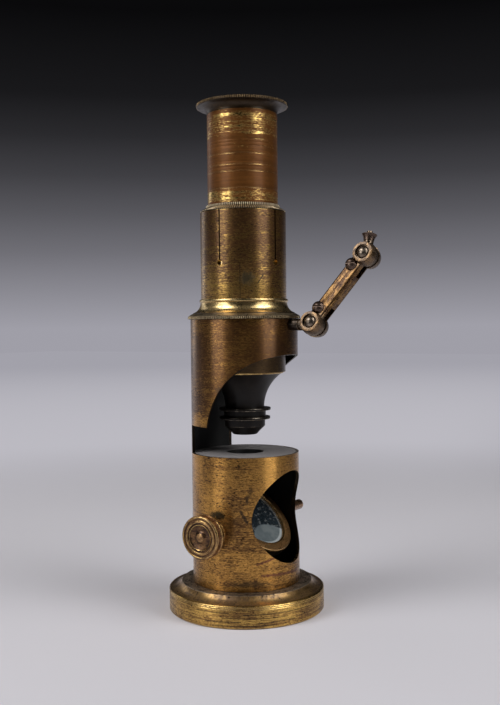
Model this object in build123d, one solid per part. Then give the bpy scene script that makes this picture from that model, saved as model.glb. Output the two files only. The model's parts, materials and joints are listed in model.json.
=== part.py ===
from build123d import *
import os
from math import cos, radians, sin, sqrt

# A brass drum microscope of about 1840, in millimetres.
# +Z is up and the origin is the centre of the foot's underside. The mirror window, the open stage and the
# jointed arm face the front, -Y. The mirror's milled knob is on the left, -X.

# Clearances
solder_gap = 0.03        # radial room of a soldered, screwed or pressed joint
running_gap = 0.06       # radial room of a tube, axle or pin that slides or turns
end_gap = 0.3            # axial room between a moving face and its stop
thrust_gap = 0.1         # axial room of a turning shoulder
touching = 1e-6          # points of an outline nearer than this are one point

# Optical tubes, from the inside out
draw_radius = 13.5
draw_wall = 1.0
guide_wall = 0.54        # spigot of the focus collar, which guides the draw tube
body_wall = 1.04
sleeve_wall = 0.7        # lower part of the spring sleeve, inside the drum
sleeve_shoulder = 0.6    # the sleeve is this much thicker above the cap

# Drum
drum_room = 3.7          # air between the sleeve and the drum
drum_wall = 1.1
upper_drum_height = 51.2
window_cheek = 4.4       # wall left at each side of the mirror window, seen from the front
window_half_height = 17.4
window_above_axle = 4.3
stage_above_window = 6.1
slide_slot_height = 10.8
slot_back_wall = 5.3     # depth of the post that is left behind the slide slot
arch_radius = 33.6
arch_behind_axis = 6.1
arch_centre_rise = 4.74
arch_turn = 4.0          # degrees, the arch sits a little round from the window

# Foot
foot_ledge = 4.4
foot_step_width = 4.9
foot_step_height = 2.4
foot_step_hollow = 0.6
foot_rim_height = 8.5
foot_edge = 0.5
foot_spigot_height = 2.0
foot_rim_wall = 6.0
weight_recess = 0.6      # thickness of the plate that closes the hollow under the weight
weight_depth = 5.4

# Stage
stage_thickness = 2.5
stage_hole_radius = 7.0
stage_ring_height = 2.5
stage_ring_width = 3.2

# Cap, sleeve and collar
cap_overhang = 1.0
cap_rim_height = 2.4
cap_rim_bevel = 0.5
cap_spigot_depth = 4.0
cap_spigot_wall = 2.0
cap_slope_height = 1.3
flare_inset = 1.1
flare_height = 3.9
neck_wall = 0.82
bead_height = 1.3
bead_bulge = 0.4
sleeve_height = 33.1     # above the cap
sleeve_drop = 28.0       # below the top of the cap
slit_depth = 19.6
slit_width = 0.6
slit_hole_radius = 1.1
saw_cut_turns = (0.0, 79.0)
collar_overlap = 1.2     # how far the collar reaches over the end of the sleeve
collar_rim_height = 0.3
collar_ring_height = 0.8
collar_height = 2.4
collar_lip = 0.64
collar_spigot = 10.4

# Draw tube and eyepiece
draw_exposed = 34.8
draw_inside = 24.0
ferrule_height = 5.0
ferrule_floor = 0.8
ferrule_hole_radius = 8.0
eyepiece_wall = 0.8
eyepiece_length = 32.0
eyepiece_overhang = 4.1
cove_height = 2.8
cove_inset = 0.6
eye_rim_height = 0.9
eye_rim_bevel = 0.4
eye_land = 3.6
eye_dish_depth = 2.0
eye_hole_radius = 4.0
eye_shelf = 1.0
eye_lens_radius = 7.2
eye_lens_edge = 1.2
eye_lens_dome = 1.6
eye_ring_width = 1.5
eye_ring_height = 1.6
cap_tail_height = 5.0
field_lens_edge = 1.3
field_lens_dome = 2.2
field_ring_width = 1.6
field_ring_height = 4.0
field_stop_height = 1.0
field_stop_radius = 6.0
field_stop_drop = 14.0

# Objective
body_lip = 0.5           # the body tube ends this far below the sleeve
nose_inset = 0.74
nose_height = 13.3
nose_foot_radius = 7.5
nose_bore = 6.0
nose_spigot_height = 5.0
nose_spigot_wall = 1.2
glare_stop_height = 0.8
glare_stop_radius = 7.0
cell_flange_height = 0.9
upper_flange_radius = 10.0
upper_barrel_radius = 8.1
upper_barrel_height = 2.5
upper_spigot_height = 3.0
lower_flange_radius = 9.8
lower_barrel_radius = 7.8
lower_barrel_height = 2.7
lower_taper_radius = 5.8
lower_taper_height = 1.9
lower_nose_radius = 4.6
lower_nose_height = 1.3
lower_spigot_radius = 5.5
lower_spigot_height = 1.7
cell_bore = 2.6
cell_dish = 0.8
lens_shelf = 1.0
objective_lens_wall = 1.0
objective_lens_edge = 0.9
objective_lens_dome = 0.8
lens_rim_margin = 0.1

# Mirror
sweep_gap = 0.9          # between the turning mirror and the drum
floor_gap = 1.0          # between the turning mirror and the foot
mirror_tilt = 45.0
axle_radius = 2.1
axle_tail = 22.5
axle_end_round = 0.8
cell_floor = 0.9
cell_clear = 0.1
glass_thickness = 1.5
bezel_thickness = 1.1
bezel_width = 3.8
bezel_grip = 1.2
bezel_edge = 0.4
glass_hollow = 0.5
boss_wall = 1.5
boss_length = 16.0
set_screw_radius = 1.1
set_screw_proud = 0.6
set_screw_slot = 0.4
bush_wall = 1.1
bush_flange = 1.2
bush_flange_height = 1.3
bush_inside = 0.7
knob_radius = 7.95
knob_thickness = 4.0
knob_stand_off = 6.8
knob_neck_radius = 3.6
knob_socket = 2.4
knob_edge = 0.4
knob_ring_width = 0.8
knob_ring_depth = 0.5
knob_dish_depth = 0.9
knob_boss_radius = 2.2
knob_boss_height = 0.9

# Jointed arm
stud_radius = 2.25
stud_journal_radius = 1.45
stud_bush_proud = 3.9
stud_below_cap = 0.1
stud_neck = 1.28         # plain part of the stud between its bush and the knuckle
stud_nut_radius = 2.1
stud_nut_height = 1.6
stud_tilt = 17.0
arm_lift = 55.5
arm_length = 31.6
knuckle_radius = 3.75    # at its faces
knuckle_bulge = 0.8      # how far its middle stands out
knuckle_width = 8.8
knuckle_gap = 0.22       # between a knuckle and the shoulder it turns beside
tongue_thickness = 2.5
tongue_inset = 0.33
bar_width = 6.1
bar_shift = 0.5          # towards the clamp screws
bar_thickness = 5.3
bar_round = 1.4
fork_end = 1.8           # fork slot past the clamp screw
pin_radius = 1.3
pin_head_radius = 2.45
pin_head_height = 1.7
pin_recess_depth = 0.8
pin_recess_margin = 0.3
pin_tail_radius = 2.0
pin_tail_height = 0.7
clamp_reach = 5.85       # from the pivot, along the bar
clamp_head_radius = 2.45
clamp_head_height = 1.8
clamp_shank_radius = 1.0
clamp_shift = 1.55
clamp_gap = 0.1
clamp_slot_width = 0.6
clamp_slot_depth = 0.8
clamp_slot_turn = -52.0
spindle_neck_radius = 1.8
spindle_neck_length = 0.7
spindle_pin_radius = 1.05
spindle_pin_proud = 1.3
spindle_cap_foot = 1.95
spindle_cap_radius = 2.95
spindle_cap_height = 2.6

# Radii worked out from the tubes
guide_bore = draw_radius + running_gap
body_bore = guide_bore + guide_wall
body_radius = body_bore + body_wall
sleeve_bore = body_radius + running_gap
sleeve_radius = sleeve_bore + sleeve_wall
sleeve_top_radius = sleeve_radius + sleeve_shoulder
drum_bore = sleeve_radius + drum_room
drum_radius = drum_bore + drum_wall
ridge_radius = drum_radius + foot_ledge
foot_radius = ridge_radius + foot_step_width
cap_radius = drum_radius + cap_overhang
draw_bore = draw_radius - draw_wall
eyepiece_radius = draw_bore - running_gap
eyepiece_bore = eyepiece_radius - eyepiece_wall

# Heights worked out from the foot upwards
foot_top = foot_rim_height + foot_step_height
spigot_top = foot_top + foot_spigot_height
sweep_radius = drum_bore - sweep_gap
axle_height = spigot_top + floor_gap + sweep_radius
window_centre = axle_height + window_above_axle
stage_top = window_centre + window_half_height + stage_above_window
stage_bottom = stage_top - stage_thickness
slot_top = stage_top + slide_slot_height
drum_top = stage_top + upper_drum_height
cap_rim_top = drum_top + cap_rim_height
cap_top = cap_rim_top + flare_height + bead_height
sleeve_top = cap_top + sleeve_height
sleeve_bottom = cap_top - sleeve_drop
body_bottom = sleeve_bottom - body_lip
collar_bottom = sleeve_top + end_gap
collar_top = collar_bottom + collar_height
draw_top = collar_top + draw_exposed
draw_bottom = collar_top - draw_inside
nose_bottom = body_bottom - nose_height
upper_cell_bottom = nose_bottom - cell_flange_height - upper_barrel_height
lower_flange_bottom = upper_cell_bottom - cell_flange_height
lower_barrel_bottom = lower_flange_bottom - lower_barrel_height
lower_taper_bottom = lower_barrel_bottom - lower_taper_height
objective_bottom = lower_taper_bottom - lower_nose_height
eyepiece_bottom = draw_top - eyepiece_length
eye_rim_top = draw_top + cove_height + eye_rim_height + eye_rim_bevel
eye_shelf_height = eye_rim_top - eye_dish_depth - eye_shelf
eye_rim_radius = draw_radius + eyepiece_overhang

bush_radius = axle_radius + running_gap + bush_wall
bush_face = drum_radius + bush_flange_height
knob_back = drum_radius + knob_stand_off

# Mirror, measured from the axle along the mirror's own axis
cell_back = axle_radius + cell_clear
glass_back = cell_back + cell_floor + solder_gap
glass_front = glass_back + glass_thickness
bezel_front = glass_front + solder_gap + bezel_thickness
cell_radius = sqrt(sweep_radius**2 - bezel_front**2)
bezel_bore = cell_radius - bezel_width
glass_radius = bezel_bore + bezel_grip

# Arm frames: the stud points out along the front and its knuckle is turned by the stud's tilt
stud_height = drum_top - stud_radius - stud_below_cap
knuckle_waist = knuckle_radius + knuckle_bulge
shoulder_reach = knuckle_waist + knuckle_gap
stud_face = drum_radius + stud_bush_proud
stud_reach = stud_face + thrust_gap + stud_neck + shoulder_reach
tongue_radius = knuckle_waist - tongue_inset
fork_gap = tongue_thickness + 2 * running_gap
fork_depth = clamp_reach + clamp_shank_radius + fork_end
nut_outer = drum_bore - end_gap - thrust_gap
nut_inner = nut_outer - stud_nut_height
outward = Vector(0, -1, 0)
hinge_axis = Vector(-cos(radians(stud_tilt)), 0, sin(radians(stud_tilt)))
arm_up = Vector(sin(radians(stud_tilt)), 0, cos(radians(stud_tilt)))
arm_direction = outward * cos(radians(arm_lift)) + arm_up * sin(radians(arm_lift))
lower_pivot = Vector(0, -stud_reach, stud_height)
upper_pivot = lower_pivot + arm_direction * arm_length
stud_frame = Plane(origin=lower_pivot, x_dir=outward, z_dir=hinge_axis)
arm_frame = Plane(origin=lower_pivot, x_dir=arm_direction, z_dir=hinge_axis)
spindle_frame = Plane(origin=upper_pivot, x_dir=arm_up, z_dir=hinge_axis)
mirror_facing = Vector(0, -cos(radians(mirror_tilt)), sin(radians(mirror_tilt)))
mirror_frame = Plane(origin=(0, 0, axle_height), x_dir=(1, 0, 0), z_dir=mirror_facing)


# Shared shapes

def rod(radius, bottom, top):
    return Pos(0, 0, bottom) * Cylinder(radius, top - bottom, align=(Align.CENTER, Align.CENTER, Align.MIN))


def tube(outer, inner, bottom, top):
    return rod(outer, bottom, top) - rod(inner, bottom, top)


def rod_along_x(radius, start, end):
    return Rot(0, 90, 0) * rod(radius, start, end)


def rod_to_front(radius, start, end):
    return Rot(90, 0, 0) * rod(radius, start, end)


def turned(*outline):
    """A solid turned about Z from a closed outline of (radius, height) points and curves."""
    edges = []
    pen = None
    for step in outline + (outline[0],):
        start = step @ 0 if isinstance(step, Edge) else Vector(*step)
        if pen is not None and (start - pen).length > touching:
            edges.append(Line(pen, start))
        pen = start
        if isinstance(step, Edge):
            edges.append(step)
            pen = step @ 1
    return revolve(Plane.XZ * make_face(edges), Axis.Z)


def hollow_curve(wide, narrow):
    """A hollow arc from a wide point to a narrow one, where it runs parallel to the axis."""
    growth = wide[0] - narrow[0]
    height = wide[1] - narrow[1]
    radius = (growth**2 + height**2) / (2 * growth)
    middle_radius = narrow[0] + radius - sqrt(radius**2 - (height / 2)**2)
    return ThreePointArc(wide, (middle_radius, narrow[1] + height / 2), narrow)


def domed(radius, height):
    """A spherical cap standing on the XY plane."""
    ball = (radius**2 + height**2) / (2 * height)
    middle_height = sqrt(ball**2 - (radius / 2)**2) - (ball - height)
    return turned((0, 0), (radius, 0), ThreePointArc((radius, 0), (radius / 2, middle_height), (0, height)))


def lens(radius, edge, dome, flat_rim):
    """A plano-convex lens lying on its flat face, with a flat rim round its dome."""
    return rod(radius, 0, edge) + Pos(0, 0, edge) * domed(radius - flat_rim, dome)


# Stand

def foot():
    hollow_radius = foot_radius - foot_rim_wall
    hollow_top = weight_recess + weight_depth
    plug_radius = drum_bore - solder_gap
    step_start = (foot_radius - 2 * foot_edge, foot_rim_height)
    return turned(
        (0, hollow_top), (hollow_radius, hollow_top), (hollow_radius, 0),
        (foot_radius - foot_edge, 0), (foot_radius, foot_edge),
        (foot_radius, foot_rim_height - foot_edge), (foot_radius - foot_edge, foot_rim_height),
        step_start, SagittaArc(step_start, (ridge_radius, foot_top), -foot_step_hollow),
        (plug_radius, foot_top), (plug_radius, spigot_top), (0, spigot_top),
    )


def foot_weight():
    return rod(foot_radius - foot_rim_wall - solder_gap, weight_recess, weight_recess + weight_depth)


def foot_plate():
    return rod(foot_radius - foot_rim_wall - solder_gap, 0, weight_recess)


def drum():
    past = 2 * drum_radius
    shell = tube(drum_radius, drum_bore, foot_top, drum_top)
    window_outline = Ellipse(drum_radius - window_cheek, window_half_height)
    window = Pos(0, 0, window_centre) * extrude(Plane.XZ * window_outline, past)
    slot_back = drum_radius - slot_back_wall
    slot = Pos(0, slot_back - past, (stage_top + slot_top) / 2) * Box(2 * past, 2 * past, slide_slot_height)
    arch_axis = Pos(0, arch_behind_axis - arch_radius, stage_top + arch_centre_rise)
    above_stage = Pos(0, 0, stage_top + past) * Box(2 * past, 6 * arch_radius, 2 * past)
    arch = Rot(0, 0, arch_turn) * (arch_axis * rod_along_x(arch_radius, -past, past) & above_stage)
    axle_hole = Pos(0, 0, axle_height) * rod_along_x(bush_radius + solder_gap, -past, past)
    stud_hole = Pos(0, 0, stud_height) * rod_to_front(stud_radius + solder_gap, 0, past)
    return shell - window - slot - arch - axle_hole - stud_hole


def stage_plate():
    return tube(drum_bore - solder_gap, stage_hole_radius, stage_bottom, stage_top)


def stage_ring():
    outer = drum_bore - solder_gap
    return tube(outer, outer - stage_ring_width, stage_bottom - stage_ring_height, stage_bottom)


def drum_cap():
    bore = sleeve_radius + solder_gap
    neck = bore + neck_wall
    flare_top = cap_rim_top + flare_height
    cap = turned(
        (bore, drum_top), (cap_radius - cap_rim_bevel, drum_top), (cap_radius, drum_top + cap_rim_bevel),
        (cap_radius, cap_rim_top - cap_slope_height),
        hollow_curve((drum_radius - flare_inset, cap_rim_top), (neck, flare_top)),
        ThreePointArc((neck, flare_top), (neck + bead_bulge, flare_top + bead_height / 2), (neck, cap_top)),
        (bore, cap_top),
    )
    plug_radius = drum_bore - solder_gap
    plug = tube(plug_radius, plug_radius - cap_spigot_wall, drum_top - cap_spigot_depth, drum_top)
    notch_width = 2 * (stud_radius + end_gap)
    notch = Pos(0, -drum_bore, drum_top) * Box(notch_width, drum_bore, 2 * cap_spigot_depth)
    return cap + (plug - notch)


def spring_sleeve():
    sleeve = tube(sleeve_radius, sleeve_bore, sleeve_bottom, cap_top)
    sleeve += tube(sleeve_top_radius, sleeve_bore, cap_top, sleeve_top)
    slit_end = sleeve_top - slit_depth
    across = 2 * sleeve_top_radius
    for turn in saw_cut_turns:
        saw_cut = Pos(0, 0, sleeve_top) * Box(2 * across, slit_width, 2 * slit_depth)
        relief = Pos(0, 0, slit_end) * rod_along_x(slit_hole_radius, -across, across)
        sleeve -= Rot(0, 0, turn) * (saw_cut + relief)
    return sleeve


def axle_bushes():
    axle_line = Pos(0, 0, axle_height)
    flange = axle_line * rod_along_x(bush_radius + bush_flange, drum_bore / 2, bush_face)
    saddle = flange - rod(drum_radius + solder_gap, 0, drum_top)
    barrel = axle_line * rod_along_x(bush_radius, drum_bore - bush_inside, bush_face)
    bore = axle_line * rod_along_x(axle_radius + running_gap, 0, 2 * drum_radius)
    bush = saddle + barrel - bore
    return Compound(children=[bush, Rot(0, 0, 180) * bush])


def stud_bush():
    bush = rod_to_front(stud_radius, drum_bore - end_gap, stud_face)
    bore = rod_to_front(stud_journal_radius + running_gap, 0, 2 * stud_face)
    return Pos(0, 0, stud_height) * (bush - bore)


# Body tube and objective

def body_tube():
    return tube(body_radius, body_bore, body_bottom, collar_bottom)


def focus_collar():
    rim_radius = sleeve_bore + collar_overlap
    spigot_radius = body_bore - solder_gap
    spigot_bottom = collar_bottom - collar_spigot
    return turned(
        (guide_bore, spigot_bottom), (spigot_radius, spigot_bottom), (spigot_radius, collar_bottom),
        (rim_radius, collar_bottom), (rim_radius, collar_bottom + collar_rim_height),
        (guide_bore + collar_lip, collar_top - collar_ring_height),
        (guide_bore + collar_lip, collar_top), (guide_bore, collar_top),
    )


def nose_cone():
    top_radius = body_radius - nose_inset
    spigot_radius = body_bore - solder_gap
    spigot_bore = spigot_radius - nose_spigot_wall
    spigot_top_height = body_bottom + nose_spigot_height
    return turned(
        (spigot_bore, spigot_top_height), (spigot_radius, spigot_top_height), (spigot_radius, body_bottom),
        hollow_curve((top_radius, body_bottom), (nose_foot_radius, nose_bottom)),
        (nose_bore, nose_bottom), (nose_bore, nose_bottom + nose_height / 2), (spigot_bore, body_bottom),
    )


def glare_stop():
    seat = body_bottom + nose_spigot_height
    return tube(body_bore - solder_gap, glare_stop_radius, seat, seat + glare_stop_height)


def upper_pocket():
    """Radius of the upper lens pocket and the height of its shelf."""
    depth = objective_lens_edge + objective_lens_dome + lens_rim_margin
    return nose_bore - solder_gap - objective_lens_wall, nose_bottom + upper_spigot_height - depth


def upper_cell():
    spigot_radius = nose_bore - solder_gap
    spigot_height = nose_bottom + upper_spigot_height
    flange_bottom = nose_bottom - cell_flange_height
    socket_radius = lower_spigot_radius + solder_gap
    socket_top = upper_cell_bottom + lower_spigot_height + solder_gap
    pocket_radius, shelf = upper_pocket()
    bore = pocket_radius - lens_shelf
    return turned(
        (pocket_radius, spigot_height), (spigot_radius, spigot_height), (spigot_radius, nose_bottom),
        (upper_flange_radius, nose_bottom), (upper_flange_radius, flange_bottom),
        (upper_barrel_radius, flange_bottom), (upper_barrel_radius, upper_cell_bottom),
        (socket_radius, upper_cell_bottom), (socket_radius, socket_top),
        (bore, socket_top), (bore, shelf), (pocket_radius, shelf),
    )


def upper_objective_lens():
    pocket_radius, shelf = upper_pocket()
    rim = lens_shelf + lens_rim_margin
    return Pos(0, 0, shelf) * lens(pocket_radius - solder_gap, objective_lens_edge, objective_lens_dome, rim)


def lower_cell():
    spigot_height = upper_cell_bottom + lower_spigot_height
    pocket_radius = lower_spigot_radius - objective_lens_wall
    return turned(
        (pocket_radius, spigot_height), (lower_spigot_radius, spigot_height),
        (lower_spigot_radius, upper_cell_bottom), (lower_flange_radius, upper_cell_bottom),
        (lower_flange_radius, lower_flange_bottom), (lower_barrel_radius, lower_flange_bottom),
        (lower_barrel_radius, lower_barrel_bottom), (lower_taper_radius, lower_taper_bottom),
        (lower_nose_radius, objective_bottom), (cell_bore + cell_dish, objective_bottom),
        (cell_bore, objective_bottom + cell_dish), (cell_bore, lower_barrel_bottom),
        (pocket_radius, lower_barrel_bottom),
    )


def lower_objective_lens():
    radius = lower_spigot_radius - objective_lens_wall - solder_gap
    rim = lens_shelf + lens_rim_margin
    return Pos(0, 0, lower_barrel_bottom) * lens(radius, objective_lens_edge, objective_lens_dome, rim)


# Draw tube and eyepiece

def draw_tube():
    return tube(draw_radius, draw_bore, draw_bottom, draw_top)


def draw_tube_ferrule():
    outer = body_bore - running_gap
    inner = draw_radius + solder_gap
    floor_bottom = draw_bottom - ferrule_floor
    return turned(
        (ferrule_hole_radius, floor_bottom), (outer, floor_bottom), (outer, draw_bottom + ferrule_height),
        (inner, draw_bottom + ferrule_height), (inner, draw_bottom), (ferrule_hole_radius, draw_bottom),
    )


def eyepiece_cap():
    tail_radius = eyepiece_bore - solder_gap
    tail_bottom = draw_top - cap_tail_height
    pocket_radius = eye_lens_radius + solder_gap
    cove_top = draw_top + cove_height
    return turned(
        (eye_hole_radius, eye_rim_top - eye_dish_depth), (eye_rim_radius - eye_land, eye_rim_top),
        (eye_rim_radius - eye_rim_bevel, eye_rim_top), (eye_rim_radius, eye_rim_top - eye_rim_bevel),
        (eye_rim_radius, cove_top),
        hollow_curve((eye_rim_radius - cove_inset, cove_top), (draw_radius, draw_top)),
        (tail_radius, draw_top), (tail_radius, tail_bottom), (pocket_radius, tail_bottom),
        (pocket_radius, eye_shelf_height), (eye_hole_radius, eye_shelf_height),
    )


def eyepiece_tube():
    return tube(eyepiece_radius, eyepiece_bore, eyepiece_bottom, draw_top)


def eye_lens():
    body = lens(eye_lens_radius, eye_lens_edge, eye_lens_dome, eye_ring_width + lens_rim_margin)
    return Pos(0, 0, eye_shelf_height) * Rot(180, 0, 0) * body


def eye_lens_ring():
    top = eye_shelf_height - eye_lens_edge
    return tube(eye_lens_radius, eye_lens_radius - eye_ring_width, top - eye_ring_height, top)


def field_stop():
    top = draw_top - field_stop_drop
    return tube(eyepiece_bore - solder_gap, field_stop_radius, top - field_stop_height, top)


def field_lens():
    body = lens(eyepiece_bore - solder_gap, field_lens_edge, field_lens_dome, field_ring_width)
    return Pos(0, 0, eyepiece_bottom + field_ring_height) * body


def field_lens_ring():
    outer = eyepiece_bore - solder_gap
    return tube(outer, outer - field_ring_width, eyepiece_bottom, eyepiece_bottom + field_ring_height)


# Mirror

def mirror_axle():
    tail = drum_radius + axle_tail - axle_end_round
    axle = rod_along_x(axle_radius, -(knob_back + knob_socket), tail)
    rounded_end = Pos(tail, 0, 0) * Rot(0, 90, 0) * domed(axle_radius, axle_end_round)
    return Pos(0, 0, axle_height) * (axle + rounded_end)


def mirror_knob():
    neck_end = bush_face + end_gap
    face = knob_back + knob_thickness
    rim_inner = knob_radius - knob_ring_width
    groove_inner = rim_inner - knob_ring_width
    ring_inner = groove_inner - knob_ring_width
    knob = turned(
        (0, neck_end), (knob_neck_radius, neck_end), (knob_neck_radius, knob_back),
        (knob_radius - knob_edge, knob_back), (knob_radius, knob_back + knob_edge),
        (knob_radius, face - knob_edge), (knob_radius - knob_edge, face),
        (rim_inner, face), (rim_inner, face - knob_ring_depth), (groove_inner, face - knob_ring_depth),
        (groove_inner, face), (ring_inner, face - knob_ring_depth),
        (knob_boss_radius, face - knob_dish_depth), (0, face - knob_dish_depth),
    )
    boss = Pos(0, 0, face - knob_dish_depth) * domed(knob_boss_radius, knob_boss_height)
    socket = rod(axle_radius + solder_gap, 0, knob_back + knob_socket)
    return Pos(0, 0, axle_height) * Rot(0, -90, 0) * (knob + boss - socket)


def mirror_cell():
    dish = rod(cell_radius, cell_back, glass_front)
    dish -= rod(glass_radius + solder_gap, cell_back + cell_floor, glass_front)
    boss_radius = axle_radius + boss_wall
    boss = rod_along_x(boss_radius, -boss_length / 2, boss_length / 2)
    boss -= rod(boss_length, cell_back + cell_floor / 2, cell_back + boss_radius)
    axle_bore = rod_along_x(axle_radius + solder_gap, -cell_radius, cell_radius)
    screw_hole = rod(set_screw_radius + solder_gap, -2 * boss_radius, 0)
    return mirror_frame * (dish + boss - axle_bore - screw_hole)


def mirror_set_screw():
    head = -(axle_radius + boss_wall + set_screw_proud)
    screw = rod(set_screw_radius, head, -axle_radius - solder_gap)
    slot = Box(4 * set_screw_radius, set_screw_slot, 2 * set_screw_slot)
    return mirror_frame * (screw - Pos(0, 0, head) * slot)


def mirror_glass():
    hollow = Pos(0, 0, glass_front) * Rot(180, 0, 0) * domed(bezel_bore, glass_hollow)
    return mirror_frame * (rod(glass_radius, glass_back, glass_front) - hollow)


def mirror_bezel():
    seat = glass_front + solder_gap
    return mirror_frame * turned(
        (bezel_bore, seat), (cell_radius, seat), (cell_radius, bezel_front - bezel_edge),
        (cell_radius - bezel_edge, bezel_front), (bezel_bore + bezel_edge, bezel_front),
        (bezel_bore, bezel_front - bezel_edge),
    )


# Jointed arm

def tongue(shoulder_radius, reach):
    """The flat eye of a knuckle, on a shank along X that ends at the shoulder."""
    shank = rod_along_x(shoulder_radius, 0, reach)
    slab = Box(4 * reach, 4 * reach, tongue_thickness)
    eye = Cylinder(tongue_radius, tongue_thickness)
    return eye + (shank & slab) - Cylinder(pin_radius + running_gap, 2 * tongue_thickness)


def arm_stud():
    shoulder = stud_face + thrust_gap - stud_reach
    neck = rod_along_x(stud_radius, shoulder, -shoulder_reach)
    journal = rod_along_x(stud_journal_radius, nut_inner - stud_reach, shoulder)
    eye = Rot(0, 0, 180) * tongue(stud_radius, shoulder_reach)
    return stud_frame * (eye + neck + journal)


def stud_nut():
    nut = extrude(RegularPolygon(stud_nut_radius, 6), stud_nut_height)
    nut -= rod(stud_journal_radius + solder_gap, 0, stud_nut_height)
    return Pos(0, -nut_inner, stud_height) * Rot(90, 0, 0) * nut


def fork_ends():
    """Place along the bar of each knuckle, and the way from there towards the middle."""
    return ((0, 1), (arm_length, -1))


def clamp_places():
    return [Pos(end + inward * clamp_reach, clamp_shift, 0) for end, inward in fork_ends()]


def knuckle():
    """A barrel about Z with flat ends."""
    end = knuckle_width / 2
    side = ThreePointArc((knuckle_radius, -end), (knuckle_waist, 0), (knuckle_radius, end))
    return turned((0, -end), side, (0, end))


def arm_bar():
    bar = Box(arm_length, bar_width, bar_thickness)
    bar = Pos(arm_length / 2, bar_shift, 0) * fillet(bar.edges().filter_by(Axis.X), bar_round)
    recess_floor = knuckle_width / 2 - pin_recess_depth
    mouth = 2 * knuckle_waist
    for end, inward in fork_ends():
        bar += Pos(end, 0, 0) * knuckle()
    for end, inward in fork_ends():
        fork = Box(fork_depth + mouth, 2 * mouth, fork_gap)
        bar -= Pos(end + inward * (fork_depth - mouth) / 2, 0, 0) * fork
        bar -= Pos(end, 0, 0) * Cylinder(pin_radius + solder_gap, 2 * knuckle_width)
        bar -= Pos(end, 0, 0) * rod(pin_head_radius + pin_recess_margin, recess_floor, knuckle_width)
    for place in clamp_places():
        bar -= place * Cylinder(clamp_shank_radius + solder_gap, 2 * knuckle_width)
        bar -= place * rod(clamp_head_radius + clamp_gap, bar_thickness / 2, knuckle_width)
    return arm_frame * bar


def pivot_pin(place):
    head_seat = knuckle_width / 2 - pin_recess_depth
    pin = rod(pin_radius, -knuckle_width / 2, head_seat)
    pin += Pos(0, 0, head_seat) * domed(pin_head_radius, pin_head_height)
    pin += Pos(0, 0, -knuckle_width / 2) * Rot(180, 0, 0) * domed(pin_tail_radius, pin_tail_height)
    return arm_frame * Pos(place, 0, 0) * pin


def lower_pivot_pin():
    return pivot_pin(0)


def upper_pivot_pin():
    return pivot_pin(arm_length)


def clamp_screws():
    seat = bar_thickness / 2
    screw = rod(clamp_shank_radius, -seat, seat)
    screw += Pos(0, 0, seat) * domed(clamp_head_radius, clamp_head_height)
    slot = Box(4 * clamp_head_radius, clamp_slot_width, 2 * clamp_slot_depth)
    screw -= Pos(0, 0, seat + clamp_head_height) * Rot(0, 0, clamp_slot_turn) * slot
    return Compound(children=[arm_frame * place * screw for place in clamp_places()])


def lens_spindle():
    neck_end = shoulder_reach + spindle_neck_length
    pin_end = neck_end + spindle_cap_height + spindle_pin_proud
    neck = rod_along_x(spindle_neck_radius, shoulder_reach, neck_end)
    pin = rod_along_x(spindle_pin_radius, neck_end, pin_end)
    return spindle_frame * (tongue(spindle_neck_radius, shoulder_reach) + neck + pin)


def spindle_cap():
    seat = shoulder_reach + spindle_neck_length
    top = seat + spindle_cap_height
    bore = spindle_pin_radius + solder_gap
    cap = turned(
        (bore, seat), (spindle_cap_foot, seat),
        hollow_curve((spindle_cap_radius, top), (spindle_cap_foot, seat)).reversed(), (bore, top),
    )
    return spindle_frame * Rot(0, 90, 0) * cap


pieces = (
    foot, foot_weight, foot_plate, drum, stage_plate, stage_ring, drum_cap, spring_sleeve,
    axle_bushes, stud_bush,
    body_tube, focus_collar, nose_cone, glare_stop, upper_cell, upper_objective_lens,
    lower_cell, lower_objective_lens,
    draw_tube, draw_tube_ferrule,
    eyepiece_cap, eyepiece_tube, eye_lens, eye_lens_ring, field_stop, field_lens, field_lens_ring,
    mirror_axle, mirror_knob, mirror_cell, mirror_set_screw, mirror_glass, mirror_bezel,
    arm_stud, stud_nut, arm_bar, lower_pivot_pin, upper_pivot_pin, clamp_screws,
    lens_spindle, spindle_cap,
)

os.makedirs("parts", exist_ok=True)
for piece in pieces:
    export_step(piece(), f"parts/{piece.__name__}.step")
print("pieces", len(pieces), "height", round(eye_rim_top, 2), "foot", round(2 * foot_radius, 2))
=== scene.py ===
# %% [markdown]
# A brass drum microscope of about 1840: a weighted foot, a drum with a mirror inside, a spring sleeve on
# top, and two tubes that slide in it. The solids come from the CAD frame, in metres, and stay where they
# are. This lesson dresses them: turned brass with worn edges, milled rims, black optics, a silvered mirror.

# %% Load the frame
import json
from math import asin, atan2, cos, pi, radians, sin, sqrt, tan

import bmesh
import bpy
from mathutils import Matrix, Vector

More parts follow.
